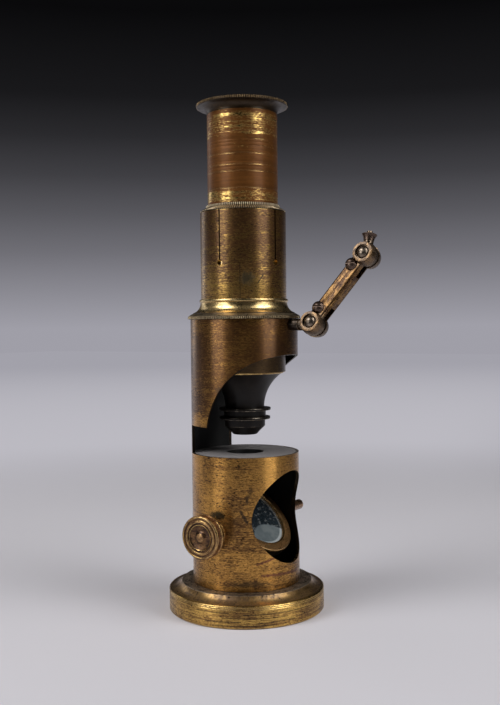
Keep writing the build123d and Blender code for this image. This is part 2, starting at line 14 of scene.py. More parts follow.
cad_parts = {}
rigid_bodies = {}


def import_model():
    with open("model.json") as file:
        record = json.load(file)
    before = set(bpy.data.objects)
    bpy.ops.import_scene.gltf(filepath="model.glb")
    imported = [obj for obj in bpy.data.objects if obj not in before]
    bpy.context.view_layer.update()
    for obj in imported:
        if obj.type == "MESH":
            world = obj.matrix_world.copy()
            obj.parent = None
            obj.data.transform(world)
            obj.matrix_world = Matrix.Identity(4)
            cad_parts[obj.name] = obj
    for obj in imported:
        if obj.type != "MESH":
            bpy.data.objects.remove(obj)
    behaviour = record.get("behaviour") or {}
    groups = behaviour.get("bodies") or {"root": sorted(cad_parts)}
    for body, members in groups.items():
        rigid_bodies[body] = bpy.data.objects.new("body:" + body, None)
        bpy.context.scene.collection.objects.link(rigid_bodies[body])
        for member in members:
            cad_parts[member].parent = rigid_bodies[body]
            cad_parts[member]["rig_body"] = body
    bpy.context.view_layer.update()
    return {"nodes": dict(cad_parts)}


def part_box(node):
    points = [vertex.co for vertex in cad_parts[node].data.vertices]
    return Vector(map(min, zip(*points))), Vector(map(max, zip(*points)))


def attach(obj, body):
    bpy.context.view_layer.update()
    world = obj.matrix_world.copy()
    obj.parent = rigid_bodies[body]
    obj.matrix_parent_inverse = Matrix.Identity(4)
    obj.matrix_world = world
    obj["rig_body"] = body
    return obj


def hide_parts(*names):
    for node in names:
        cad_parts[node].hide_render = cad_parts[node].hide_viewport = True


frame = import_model()
nodes = frame["nodes"]
body_of = {name: node["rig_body"] for name, node in nodes.items()}
mm = 0.001

# %% [markdown]
# The photograph was taken from the front left, from a little above half the object's height and about 36
# centimetres away. A camera could be turned by hand until it fits. Here its axes are worked out from the
# bearing and three small angles, so each of them can be changed alone.

# %% Set the camera
camera_distance = 358.7 * mm
camera_height = 108.6 * mm
camera_bearing = radians(-147.6)     # from the object's axis, measured from +X
camera_yaw = radians(0.35)           # to the right of the axis
camera_pitch = radians(1.59)         # downwards
camera_roll = radians(0.58)          # clockwise, so the object leans to the left
focal_pixels = 926.2
image_height = 705
sensor_side = 36.0


def bearing_vector(angle):
    return Vector((cos(angle), sin(angle), 0))


def aim(yaw, pitch, roll):
    """Right, up and back axes of a camera that starts out facing the object's axis."""
    level = -bearing_vector(camera_bearing - yaw)
    forward = level * cos(pitch) - Vector((0, 0, 1)) * sin(pitch)
    right = forward.cross(Vector((0, 0, 1))).normalized()
    up = right.cross(forward)
    tilted_right = right * cos(roll) - up * sin(roll)
    tilted_up = up * cos(roll) + right * sin(roll)
    return tilted_right, tilted_up, -forward


def put_in_scene(name, data):
    made = bpy.data.objects.new(name, data)
    bpy.context.scene.collection.objects.link(made)
    return made


lens_data = bpy.data.cameras.new("camera")
lens_data.sensor_fit = "AUTO"
lens_data.sensor_width = sensor_side
lens_data.lens = focal_pixels / image_height * sensor_side
lens_data.clip_start = 0.01
camera = put_in_scene("camera", lens_data)
camera_place = bearing_vector(camera_bearing) * camera_distance + Vector((0, 0, camera_height))
camera.matrix_world = Matrix.Translation(camera_place) @ Matrix(
    aim(camera_yaw, camera_pitch, camera_roll)).transposed().to_4x4()
bpy.context.scene.camera = camera
print("lens", round(lens_data.lens, 2), "camera", [round(value, 4) for value in camera_place])

# %% [markdown]
# Every finish and tree below is built from nodes. Small helpers keep that readable: one adds a node and
# fills its sockets, with a value or with a link, and the others use it for arithmetic, noise and mixing.

# %% Helpers for node trees
def fill(tree, sockets, inputs):
    """Give each named socket a link or a plain value."""
    for key, value in inputs.items():
        if isinstance(value, bpy.types.NodeSocket):
            tree.links.new(value, sockets[key])
        else:
            sockets[key].default_value = value


def add(tree, kind, inputs=None, **settings):
    """Add a node. Settings are its own options; inputs are sockets to link or plain values."""
    made = tree.nodes.new(kind)
    for key, value in settings.items():
        setattr(made, key, value)
    fill(tree, made.inputs, inputs or {})
    return made


def calc(tree, operation, *values, clamp=False):
    inputs = dict(enumerate(values))
    return add(tree, "ShaderNodeMath", inputs, operation=operation, use_clamp=clamp).outputs[0]


def vector_calc(tree, operation, *values):
    """Vector arithmetic. A length, a distance or a dot product comes out as a number."""
    made = add(tree, "ShaderNodeVectorMath", dict(enumerate(values)), operation=operation)
    return made.outputs["Value" if operation in ("LENGTH", "DISTANCE", "DOT_PRODUCT") else "Vector"]


def split_xyz(tree, vector):
    return add(tree, "ShaderNodeSeparateXYZ", {0: vector}).outputs


def join_xyz(tree, x=0.0, y=0.0, z=0.0):
    return add(tree, "ShaderNodeCombineXYZ", {0: x, 1: y, 2: z}).outputs[0]


def noise(tree, vector, scale, detail, rough=0.5):
    inputs = {"Vector": vector, "Scale": scale, "Detail": detail, "Roughness": rough}
    return add(tree, "ShaderNodeTexNoise", inputs).outputs[0]


def blend(tree, factor, first, second, mode="MIX"):
    """Mix two colours."""
    inputs = {0: factor, 6: first, 7: second}
    return add(tree, "ShaderNodeMix", inputs, data_type="RGBA", blend_type=mode).outputs[2]


def ramp_value(tree, value, low, high, start=0.0, end=1.0):
    """Smooth step of a value between two levels."""
    inputs = {"Value": value, "From Min": low, "From Max": high, "To Min": start, "To Max": end}
    return add(tree, "ShaderNodeMapRange", inputs, interpolation_type="SMOOTHSTEP").outputs[0]


def bumped(tree, height, strength, depth):
    inputs = {"Height": height, "Strength": strength, "Distance": depth}
    return add(tree, "ShaderNodeBump", inputs).outputs[0]


def new_group(name, inputs, outputs):
    """An empty shader node group with named sockets, and its two ends."""
    tree = bpy.data.node_groups.new(name, "ShaderNodeTree")
    for label, kind, value in inputs:
        socket = tree.interface.new_socket(label, in_out="INPUT", socket_type=kind)
        if value is not None:
            socket.default_value = value
    for label, kind in outputs:
        tree.interface.new_socket(label, in_out="OUTPUT", socket_type=kind)
    start = tree.nodes.new("NodeGroupInput").outputs
    end = tree.nodes.new("NodeGroupOutput").inputs
    return tree, start, end


def new_material(name):
    """A material, its node tree and the sockets of its shader."""
    material = bpy.data.materials.new(name)
    material.use_nodes = True
    tree = material.node_tree
    return material, tree, tree.nodes["Principled BSDF"].inputs


NUMBER = "NodeSocketFloat"
COLOUR = "NodeSocketColor"
PLACE = "NodeSocketVector"
print("node helpers ready")

# %% [markdown]
# The room: a pale table, a backdrop that darkens upwards, two tall softboxes in front, a smaller one high
# above each of them, and a dim one behind. Polished metal shows mostly its surroundings, so the tall
# softboxes are what draws the two bright columns down every tube. They could be bright cards. Area lamps are
# simpler and give soft shadows too.

# %% Lay the table and hang the lights
table_half = 3.0
table_pale = (0.57, 0.553, 0.585, 1)
table_near_glow = (0.10, 0.098, 0.105, 1)
table_middle_glow = (0.50, 0.49, 0.535, 1)
table_far_glow = (0.36, 0.355, 0.40, 1)
table_lit = (0.55, 0.20)         # where the lamps light nothing of the table, and where they light all
table_far = (0.35, 2.5)          # where the far glow begins, and where it is full
black = (0, 0, 0, 1)
backdrop_steps = ((0.0, 0.36), (0.04, 0.26), (0.08, 0.165), (0.12, 0.10), (0.16, 0.052), (0.20, 0.024),
                  (0.24, 0.010), (0.32, 0.003), (0.6, 0.01), (1.0, 0.08))
backdrop_tint = (0.97, 0.955, 1.08)
backdrop_bearing = camera_bearing + radians(205)     # where it is brightest, seen from the object
backdrop_low = 0.10                                  # its level on the other side, as a share
softbox_target = Vector((0, 0, 0.1))


def backdrop_level(tree, direction):
    """How bright the room is in a direction from the object: full behind it, low behind the camera."""
    level = vector_calc(tree, "NORMALIZE", vector_calc(tree, "MULTIPLY", direction, (1, 1, 0)))
    facing = vector_calc(tree, "DOT_PRODUCT", level, bearing_vector(backdrop_bearing))
    return ramp_value(tree, facing, 0.0, 0.75, backdrop_low, 1.0)


def table_finish():
    material, tree, sockets = new_material("table")
    place = add(tree, "ShaderNodeTexCoord").outputs["Object"]
    distance = vector_calc(tree, "LENGTH", place)
    lit = ramp_value(tree, distance, *table_lit)
    glow = blend(tree, ramp_value(tree, distance, *table_far), table_middle_glow, table_far_glow)
    glow = blend(tree, 1.0, glow, backdrop_level(tree, place), "MULTIPLY")
    fill(tree, sockets, {
        "Base Color": blend(tree, lit, black, table_pale), "Roughness": 0.75, "Specular IOR Level": 0.1,
        "Emission Color": blend(tree, lit, glow, table_near_glow), "Emission Strength": 1.0,
        "Normal": bumped(tree, noise(tree, place, 900.0, 3.0), 0.15, 0.1 * mm)})
    return material


def lay_table():
    half = table_half
    mesh = bpy.data.meshes.new("table")
    corners = [(-half, -half, 0), (half, -half, 0), (half, half, 0), (-half, half, 0)]
    mesh.from_pydata(corners, [], [(0, 1, 2, 3)])
    mesh.materials.append(table_finish())
    table = put_in_scene("table", mesh)


def hang_backdrop():
    world = bpy.data.worlds.new("studio")
    world.use_nodes = True
    tree = world.node_tree
    direction = add(tree, "ShaderNodeTexCoord").outputs["Generated"]
    ramp = add(tree, "ShaderNodeValToRGB", {0: split_xyz(tree, direction)["Z"]})
    stops = ramp.color_ramp.elements
    for height, level in backdrop_steps:
        stop = stops[0] if height == 0.0 else stops[-1] if height == 1.0 else stops.new(height)
        stop.color = [level * share for share in backdrop_tint] + [1]
    fill(tree, tree.nodes["Background"].inputs,
         {"Color": ramp.outputs[0], "Strength": backdrop_level(tree, direction)})
    bpy.context.scene.world = world


def hang_softbox(name, turn, distance, height, width, tall, level):
    """An area lamp that faces the microscope, at so many degrees round from the camera. Level 1 is white."""
    lamp = bpy.data.lights.new(name, "AREA")
    lamp.shape = "RECTANGLE"
    lamp.size = width
    lamp.size_y = tall
    lamp.energy = level * pi * width * tall
    place = bearing_vector(camera_bearing + radians(turn)) * distance + Vector((0, 0, height))
    facing = (place - softbox_target).to_track_quat("Z", "Y").to_matrix().to_4x4()
    put_in_scene(name, lamp).matrix_world = Matrix.Translation(place) @ facing


softboxes = (
    ("softbox_left", -58, 0.70, 0.52, 0.42, 1.10, 2.7),
    ("softbox_right", 54, 0.70, 0.52, 0.42, 1.10, 2.4),
    ("softbox_left_high", -70, 0.60, 0.74, 0.40, 0.40, 4.0),
    ("softbox_right_high", 70, 0.60, 0.74, 0.40, 0.40, 4.0),
    ("softbox_back_left", -135, 0.90, 0.35, 0.30, 0.60, 0.9),
)
lay_table()
hang_backdrop()
for softbox in softboxes:
    hang_softbox(*softbox)
bpy.context.scene.view_settings.view_transform = "Standard"
print("softboxes", len(softboxes))

# %% [markdown]
# Old brass is never one colour. Lacquer browns it in blotches, turning leaves fine lines round the axis, and
# damp leaves dark pits. All the brass pieces share one node group with those three effects. Its Position is
# the place along the turning axis, so the lines run round a tube, or in rings on the face of a knob.

# %% Make the aged brass group
def aged_brass_group():
    tree, given, result = new_group(
        "aged_brass",
        [("Vector", PLACE, None), ("Position", NUMBER, 0.0), ("Bright", COLOUR, None),
         ("Brown", COLOUR, None), ("Dark", COLOUR, None), ("Tarnish", NUMBER, 0.5),
         ("Contrast", NUMBER, 0.12), ("Stains", NUMBER, 0.5), ("Blotches", NUMBER, 1.0),
         ("Mottle", NUMBER, 1.0), ("Flecks", NUMBER, 1.0), ("Lines", NUMBER, 1.0),
         ("Blotch Size", NUMBER, 12.0), ("Bright Roughness", NUMBER, 0.22),
         ("Brown Roughness", NUMBER, 0.42)],
        [("Color", COLOUR), ("Roughness", NUMBER), ("Height", NUMBER), ("Tarnish Mask", NUMBER)])
    split = split_xyz(tree, given["Vector"])

    def clouds(around, along, detail):
        """Noise around zero, with cells of about this size round the axis and along it, in millimetres."""
        vector = join_xyz(tree, calc(tree, "DIVIDE", split["X"], around),
                          calc(tree, "DIVIDE", split["Y"], around),
                          calc(tree, "DIVIDE", given["Position"], along))
        return calc(tree, "SUBTRACT", noise(tree, vector, 1.0, detail, 0.6), 0.5)

    def weighted(*pairs):
        """The sum of values, each times its weight."""
        total = 0.0
        for value, weight in pairs:
            total = calc(tree, "MULTIPLY_ADD", value, weight, total)
        return total

    fine_lines = clouds(12.0, 0.25, 3.0)
    broad_lines = clouds(20.0, 1.8, 4.0)
    mottle = clouds(2.8, 1.6, 5.0)
    flecks = clouds(1.3, 0.30, 2.0)
    grit = clouds(0.7, 0.4, 2.0)
    blotches = clouds(given["Blotch Size"], given["Blotch Size"], 4.0)
    lines = weighted((fine_lines, 0.6), (broad_lines, 0.6))
    level = weighted((blotches, given["Blotches"]), (mottle, given["Mottle"]), (flecks, given["Flecks"]),
                     (lines, given["Lines"]), (grit, 0.3))
    level = calc(tree, "ADD", level, given["Tarnish"])
    mask = ramp_value(tree, level, calc(tree, "SUBTRACT", 0.5, given["Contrast"]),
                      calc(tree, "ADD", 0.5, given["Contrast"]))
    stain_level = weighted((flecks, 0.6), (grit, 1.0), (mottle, 0.4), (blotches, 0.4))
    stain_level = calc(tree, "MULTIPLY_ADD", given["Stains"], 0.30, stain_level)
    stains = ramp_value(tree, stain_level, 0.24, 0.40)
    shade = weighted((broad_lines, 0.8), (mottle, 0.5), (fine_lines, 0.5))
    shade = ramp_value(tree, shade, -0.2, 0.2, 0.75, 1.16)
    base = blend(tree, mask, given["Bright"], given["Brown"])
    base = blend(tree, 1.0, base, shade, "MULTIPLY")
    gloss = add(tree, "ShaderNodeMix",
                {0: mask, 2: given["Bright Roughness"], 3: given["Brown Roughness"]}).outputs[0]
    gloss = weighted((mottle, 0.15), (fine_lines, 0.15), (flecks, 0.15), (stains, 0.2), (gloss, 1.0))
    fill(tree, result, {
        "Color": blend(tree, stains, base, given["Dark"]),
        "Roughness": calc(tree, "MAXIMUM", gloss, 0.08),
        "Height": weighted((lines, 0.5), (mottle, 0.3), (flecks, 0.25), (stains, -0.3)),
        "Tarnish Mask": calc(tree, "MULTIPLY", mask, calc(tree, "SUBTRACT", 1.0, stains))})
    return tree


aged_brass = aged_brass_group()
print("group", aged_brass.name, len(aged_brass.nodes), "nodes")

# %% [markdown]
# Some marks sit in one place: a black stain beside the knob, a band that a sliding collar has rubbed bright.
# Others are painted shade and painted light: dark patches where parts lie in shadow, and a bright band where
# a tube is seen in shade. Three more groups make them. A patch is a ragged spot round a point, a band is a
# ragged ring at a height, and a scratch is a thin line between two points.

# %% Make the patch, band and scratch groups
def raggedness(tree, vector, scale, detail, amount):
    """Noise around zero, three times as strong as the amount."""
    level = calc(tree, "SUBTRACT", noise(tree, vector, scale, detail, 0.7), 0.5)
    return calc(tree, "MULTIPLY", level, calc(tree, "MULTIPLY", amount, 3.0))


def patch_group():
    tree, given, result = new_group(
        "stain_and_shade_patch", [("Vector", PLACE, None), ("Centre", PLACE, None), ("Reach", PLACE, (3.0, 3.0, 3.0)),
                        ("Ragged", NUMBER, 0.5)], [("Mask", NUMBER)])
    away = vector_calc(tree, "SUBTRACT", given["Vector"], given["Centre"])
    distance = vector_calc(tree, "LENGTH", vector_calc(tree, "DIVIDE", away, given["Reach"]))
    ragged = raggedness(tree, given["Vector"], 0.7, 5.0, given["Ragged"])
    tree.links.new(ramp_value(tree, calc(tree, "ADD", distance, ragged), 1.0, 0.45), result["Mask"])
    return tree


def band_group():
    tree, given, result = new_group(
        "rubbed_and_lit_band", [("Vector", PLACE, None), ("Position", NUMBER, 0.0), ("Centre", NUMBER, 0.0),
                        ("Half Width", NUMBER, 2.0), ("Ragged", NUMBER, 0.5)], [("Mask", NUMBER)])
    split = split_xyz(tree, given["Vector"])
    vector = join_xyz(tree, calc(tree, "MULTIPLY", split["X"], 0.12),
                      calc(tree, "MULTIPLY", split["Y"], 0.12),
                      calc(tree, "MULTIPLY", given["Position"], 1.1))
    ragged = raggedness(tree, vector, 1.0, 6.0, given["Ragged"])
    away = calc(tree, "ABSOLUTE", calc(tree, "SUBTRACT", given["Position"], given["Centre"]))
    away = calc(tree, "ADD", calc(tree, "DIVIDE", away, given["Half Width"]), ragged)
    tree.links.new(ramp_value(tree, away, 1.0, 0.7), result["Mask"])
    return tree


def scratch_group():
    tree, given, result = new_group(
        "scratch", [("Vector", PLACE, None), ("Start", PLACE, None), ("Stretch", PLACE, None),
                    ("Width", NUMBER, 0.3)], [("Mask", NUMBER)])
    stretch = given["Stretch"]
    away = vector_calc(tree, "SUBTRACT", given["Vector"], given["Start"])
    share = calc(tree, "DIVIDE", vector_calc(tree, "DOT_PRODUCT", away, stretch),
                 vector_calc(tree, "DOT_PRODUCT", stretch, stretch), clamp=True)
    on_line = add(tree, "ShaderNodeVectorMath", {0: stretch, "Scale": share}, operation="SCALE").outputs[0]
    width = calc(tree, "MULTIPLY", given["Width"], noise(tree, given["Vector"], 1.5, 3.0))
    distance = calc(tree, "DIVIDE", vector_calc(tree, "DISTANCE", away, on_line), width)
    tree.links.new(ramp_value(tree, distance, 2.0, 1.0), result["Mask"])
    return tree


stain_and_shade_patch = patch_group()
rubbed_and_lit_band = band_group()
scratch = scratch_group()
print("groups", stain_and_shade_patch.name, rubbed_and_lit_band.name, scratch.name)

# %% [markdown]
# One function turns those groups into a finish and keeps it under a label. It takes the two colours of the
# brass, how brown it is, how strongly each effect shows, and the marks that belong to one place. The clear
# lacquer that is left on brown places is a thin coat over the metal, and the veil is the share of the brown
# that hides the metal.

# %% Write the brass finish
bump_depth = 0.06 * mm
lacquer_roughness = 0.22
lacquer_shine = 0.15
quarter_turn = 0.25      # turning lines run round the axis, so the gloss is drawn out along it
pit_dark = (0.02, 0.014, 0.01, 1)
finish = {}


def in_millimetres(tree, centre=(0, 0, 0), turn=(0, 0, 0)):
    """Object coordinates in millimetres, measured from a centre and turned."""
    place = add(tree, "ShaderNodeTexCoord").outputs["Object"]
    inputs = {"Vector": place, "Location": centre, "Rotation": turn, "Scale": (mm, mm, mm)}
    return add(tree, "ShaderNodeMapping", inputs, vector_type="TEXTURE").outputs[0]


def along_axis(tree, place):
    return split_xyz(tree, place)["Z"]


def from_axis(tree, place):
    """Distance from the Z axis plus the height, so that faces get rings and rims get lines."""
    split = split_xyz(tree, place)
    radius = vector_calc(tree, "LENGTH", join_xyz(tree, split["X"], split["Y"]))
    return calc(tree, "ADD", radius, split["Z"])


def brass_finish(label, name, bright, brown, tarnish=0.5, contrast=0.25, blotch=12.0,
                 weights=(0.8, 0.5, 0.6, 0.5), stains=0.25, gloss=(0.22, 0.42), relief=0.35, coat=0.25,
                 veil=0.0, brushed=0.0, bands=(), patches=(), scratches=(), position=along_axis,
                 centre=(0, 0, 0), turn=(0, 0, 0)):
    """Weights are for blotches, mottle, flecks and lines. Gloss is the roughness, bright and brown."""
    material, tree, sockets = new_material(name + "_finish")
    place = in_millimetres(tree, centre, turn)
    height = position(tree, place)
    amount = tarnish
    for band_centre, band_half, ragged, strength in bands:
        inputs = {0: place, 1: height, 2: band_centre, 3: band_half, 4: ragged}
        band_mask = add(tree, "ShaderNodeGroup", inputs, node_tree=rubbed_and_lit_band)
        amount = calc(tree, "SUBTRACT", amount, calc(tree, "MULTIPLY", band_mask.outputs["Mask"], strength))
    aged = add(tree, "ShaderNodeGroup", {
        "Vector": place, "Position": height, "Bright": (*bright, 1), "Brown": (*brown, 1), "Dark": pit_dark,
        "Tarnish": amount, "Contrast": contrast, "Blotch Size": blotch, "Stains": stains,
        "Bright Roughness": gloss[0], "Brown Roughness": gloss[1],
        **dict(zip(("Blotches", "Mottle", "Flecks", "Lines"), weights))}, node_tree=aged_brass).outputs
    marks = [(stain_and_shade_patch, *patch) for patch in patches]
    marks += [(scratch, start, Vector(end) - Vector(start), *look) for start, end, *look in scratches]
    colour = aged["Color"]
    for group, first, second, third, tint, strength in marks:
        mark = add(tree, "ShaderNodeGroup", {0: place, 1: first, 2: second, 3: third}, node_tree=group)
        colour = blend(tree, calc(tree, "MULTIPLY", mark.outputs["Mask"], strength), colour, (*tint, 1))
    lacquered = aged["Tarnish Mask"]
    fill(tree, sockets, {
        "Base Color": colour, "Roughness": aged["Roughness"],
        "Normal": bumped(tree, aged["Height"], relief, bump_depth),
        "Coat Weight": calc(tree, "MULTIPLY", lacquered, coat), "Coat Roughness": lacquer_roughness,
        "Metallic": calc(tree, "MULTIPLY_ADD", lacquered, -veil, 1.0), "Specular IOR Level": lacquer_shine,
        "Anisotropic": brushed, "Anisotropic Rotation": quarter_turn})
    finish[label] = material


gold = (0.84, 0.52, 0.14)
warm_gold = (0.74, 0.39, 0.10)
brown = (0.112, 0.050, 0.0155)
red_brown = (0.145, 0.054, 0.0115)
olive_brown = (0.12, 0.066, 0.022)
print("brass finish ready")

# %% [markdown]
# The marks come first, each at its bearing and height on a tube. A patch is a place, its reach, how ragged
# it is, its colour and its strength. A scratch is its two ends, its width, its colour and its strength.

# %% Place the marks
def on_tube(radius, bearing, height):
    """A place on a tube, from its bearing in degrees and its height."""
    return tuple(bearing_vector(radians(bearing)) * radius + Vector((0, 0, height)))


def long_scratch(radius, start, end, width, tint, strength, pieces=4):
    """A scratch that runs round a tube, in short straight pieces."""
    places = [on_tube(radius, *Vector(start).lerp(Vector(end), step / pieces)) for step in range(pieces + 1)]
    return [(places[step], places[step + 1], width, tint, strength) for step in range(pieces)]


drum_skin = 20.7
sleeve_skin = 16.5
foot_skin = 30.0
stain_black = (0.012, 0.014, 0.010)
scratch_dark = (0.03, 0.022, 0.016)
scratch_red = (0.16, 0.06, 0.035)
drum_patches = (
    (on_tube(drum_skin, -177.6, 38.8), (4.0, 4.0, 2.0), 0.7, stain_black, 0.9),
    (on_tube(drum_skin, -146.4, 45.1), (0.8, 0.8, 2.4), 0.6, scratch_dark, 0.7),
    (on_tube(drum_skin, -143.3, 48.0), (1.0, 1.0, 3.2), 0.7, scratch_dark, 0.6),
    (on_tube(drum_skin, -144.3, 13.7), (9.0, 9.0, 1.4), 0.6, (0.05, 0.03, 0.016), 0.7),
    (on_tube(drum_skin, -174.8, 84.7), (2.0, 2.0, 2.2), 0.9, scratch_dark, 0.6),
    (on_tube(drum_skin, -118.0, 97.0), (11.0, 11.0, 15.0), 0.25, (0.085, 0.038, 0.014), 0.75),
)
drum_scratches = (
    [(on_tube(drum_skin, -152.7, 40.7), on_tube(drum_skin, -146.7, 36.6), 0.7, scratch_dark, 0.8)]
    + long_scratch(drum_skin, (-136.9, 21.0), (-116.9, 22.9), 0.5, scratch_red, 0.8)
    + long_scratch(drum_skin, (-131.7, 16.8), (-79.2, 16.0), 0.6, scratch_red, 0.8, pieces=8))
sleeve_patches = (
    (on_tube(sleeve_skin, -143.2, 126.6), (3.4, 3.4, 3.0), 0.6, (0.30, 0.24, 0.13), 0.5),
    (on_tube(sleeve_skin, -143.2, 126.8), (2.6, 2.6, 2.4), 0.9, (0.07, 0.058, 0.034), 0.7),
    (on_tube(sleeve_skin, -167.0, 118.6), (2.5, 2.5, 1.5), 0.8, (0.06, 0.065, 0.03), 0.6),
    # Painted shade: the sleeve's end inside the drum is darkened, where it lies in shadow.
    ((0, 0, 92.0), (60.0, 60.0, 22.0), 0.15, (0.04, 0.027, 0.012), 0.7),      # the end inside the drum
)
sleeve_scratches = (
    (on_tube(sleeve_skin, -152.2, 119.0), on_tube(sleeve_skin, -152.2, 132.0), 0.2, scratch_dark, 0.8),
    (on_tube(sleeve_skin, -128.8, 124.8), on_tube(sleeve_skin, -121.7, 127.7), 0.3, scratch_dark, 0.9),
)
# Painted shade: a dark patch on the arm's stud, where it lies in shadow.
stud_painted_shade = (((0, -23.0, 109.5), (6.0, 5.0, 6.0), 0.2, (0.02, 0.015, 0.012), 0.9),)
# Painted shade: the top of the mirror's bezel is darkened, where it lies in shadow inside the drum.
bezel_painted_shade = (((0, 0, 50.0), (40.0, 40.0, 18.0), 0.2, (0.03, 0.02, 0.012), 0.85),)
foot_lines = (      # from bearing, to bearing, height, rise, width
    (-178, -152, 2.6, 0.2, 0.22), (-165, -118, 4.1, -0.2, 0.2), (-150, -100, 5.4, 0.1, 0.24),
    (-186, -160, 5.9, 0.0, 0.2), (-140, -112, 2.2, 0.3, 0.2), (-172, -128, 1.3, 0.1, 0.24),
)
foot_scratches = []
for start, end, height, rise, width in foot_lines:
    foot_scratches += long_scratch(foot_skin, (start, height), (end, height + rise), width, scratch_dark,
                                   0.75, pieces=6)
print("marks on the drum", len(drum_patches) + len(drum_scratches), "on the foot", len(foot_scratches))

# %% [markdown]
# Now each kind of brass on the microscope is mixed. The tubes are browner than the foot, the arm is darker,
# and edges that hands have rubbed are bright. A band is its height, its half width, how ragged it is, and
# how much of the brown is taken off there. Most bands are rubbed bright, but the body tube's is painted
# light.

# %% Mix the brass finishes
brass_finish("foot", "foot_brass", gold, (0.19, 0.098, 0.030), tarnish=0.55, blotch=9.0, stains=0.38,
             weights=(0.8, 0.2, 0.6, 1.6), gloss=(0.28, 0.44), relief=0.45, veil=0.12, brushed=0.75,
             scratches=foot_scratches, position=from_axis)
brass_finish("drum", "drum_brass", warm_gold, brown, tarnish=0.58, contrast=0.26, blotch=14.0, stains=0.36,
             weights=(0.7, 0.3, 0.7, 1.0), gloss=(0.24, 0.38), relief=0.3, veil=0.14, brushed=0.85,
             bands=((50.0, 14.0, 0.3, 0.10), (18.0, 9.0, 0.3, 0.06), (96.0, 24.0, 0.3, -0.12)),
             patches=drum_patches, scratches=drum_scratches)
brass_finish("sleeve", "sleeve_brass", (0.70, 0.43, 0.115), (0.105, 0.050, 0.019), tarnish=0.74,
             contrast=0.28, blotch=7.0, weights=(0.45, 0.25, 0.9, 1.1), stains=0.40, gloss=(0.22, 0.36),
             veil=0.22, brushed=0.5, bands=((114.0, 13.0, 0.5, 0.08), (114.0, 22.0, 0.5, 0.10)),
             patches=sleeve_patches, scratches=sleeve_scratches)
brass_finish("flare", "flare_brass", (0.82, 0.60, 0.27), (0.16, 0.105, 0.05), tarnish=0.44, contrast=0.24,
             blotch=8.0, weights=(0.6, 0.4, 0.4, 0.3), stains=0.1, gloss=(0.24, 0.36), relief=0.3,
             position=from_axis)
brass_finish("tube", "tube_brass", (0.86, 0.58, 0.19), red_brown, tarnish=0.96, contrast=0.12, blotch=5.0,
             weights=(0.3, 0.1, 0.7, 1.5), stains=0.0, gloss=(0.24, 0.50), coat=0.12, veil=0.5, brushed=0.5,
             bands=((184.6, 5.0, 0.4, 0.34), (157.6, 2.6, 0.3, 0.40), (178.0, 3.5, 0.4, 0.18)))
brass_finish("milled", "milled_brass", (0.72, 0.58, 0.36), (0.26, 0.19, 0.11), blotch=5.0,
             gloss=(0.25, 0.45))
brass_finish("eyepiece", "eyepiece_brass", (0.20, 0.12, 0.055), (0.040, 0.025, 0.013), tarnish=0.72,
             contrast=0.2, blotch=5.0, weights=(0.6, 0.3, 0.3, 0.6), gloss=(0.36, 0.5))
brass_finish("edge", "worn_and_lit_edge", (0.80, 0.55, 0.21), olive_brown, tarnish=0.42, blotch=4.0,
             gloss=(0.2, 0.34), relief=0.1, coat=0.0)
brass_finish("cut", "cut_edge", (0.24, 0.15, 0.06), (0.03, 0.02, 0.012), tarnish=0.72, contrast=0.2,
             blotch=5.0, gloss=(0.25, 0.45), relief=0.2, coat=0.0)
# Painted light: the body tube's band makes it bright round the height of the holes at the ends of the saw
# cuts, where it is seen in shade through them.
brass_finish("body", "body_brass", (0.84, 0.60, 0.28), (0.17, 0.09, 0.034), tarnish=0.82, blotch=4.0,
             weights=(0.6, 0.4, 0.5, 1.0), stains=0.3, gloss=(0.24, 0.4), bands=((134.0, 15.0, 0.35, 0.7),))
brass_finish("knob", "knob_brass", (0.66, 0.38, 0.17), (0.15, 0.066, 0.034), tarnish=0.54, contrast=0.2,
             blotch=3.0, stains=0.3, gloss=(0.22, 0.4), relief=0.4)
brass_finish("bezel", "bezel_brass", (0.74, 0.43, 0.18), (0.30, 0.155, 0.06), blotch=3.0, gloss=(0.32, 0.46),
             relief=0.3, patches=bezel_painted_shade)
brass_finish("arm", "arm_brass", (0.25, 0.185, 0.125), (0.08, 0.055, 0.04), contrast=0.3, blotch=3.0,
             weights=(0.6, 0.2, 0.1, 0.0), stains=0.0, gloss=(0.28, 0.4), relief=0.05, patches=stud_painted_shade)
brass_finish("arm_edge", "arm_edge", (0.36, 0.275, 0.19), (0.10, 0.072, 0.05), tarnish=0.4, contrast=0.3,
             blotch=3.0, weights=(0.5, 0.1, 0.1, 0.0), stains=0.0, gloss=(0.26, 0.4), relief=0.03)
brass_finish("screw", "screw", (0.17, 0.115, 0.085), (0.06, 0.04, 0.032), contrast=0.3, blotch=3.0,
             weights=(0.5, 0.1, 0.1, 0.0), stains=0.0, gloss=(0.3, 0.42), relief=0.03)
brass_finish("eye_rib", "eyepiece_rib", (0.23, 0.155, 0.08), (0.07, 0.046, 0.025), blotch=5.0,
             gloss=(0.3, 0.42), relief=0.1)
brass_finish("ring", "collar_ring", (0.78, 0.65, 0.45), (0.36, 0.28, 0.18), tarnish=0.38, contrast=0.3,
             blotch=4.0, weights=(0.5, 0.3, 0.3, 0.3), stains=0.1, gloss=(0.42, 0.5), relief=0.05, veil=0.5)
brass_finish("rim", "cap_rim", (0.64, 0.51, 0.33), (0.25, 0.19, 0.115), contrast=0.28, blotch=4.0,
             weights=(0.6, 0.3, 0.3, 0.5), stains=0.2, gloss=(0.3, 0.42), relief=0.1, position=from_axis)
brass_finish("ledge", "foot_ledge", (0.44, 0.36, 0.27), (0.13, 0.10, 0.075), contrast=0.2, blotch=4.0,
             weights=(1.0, 0.7, 0.5, 0.3), stains=0.55, gloss=(0.5, 0.6), relief=0.4, position=from_axis)
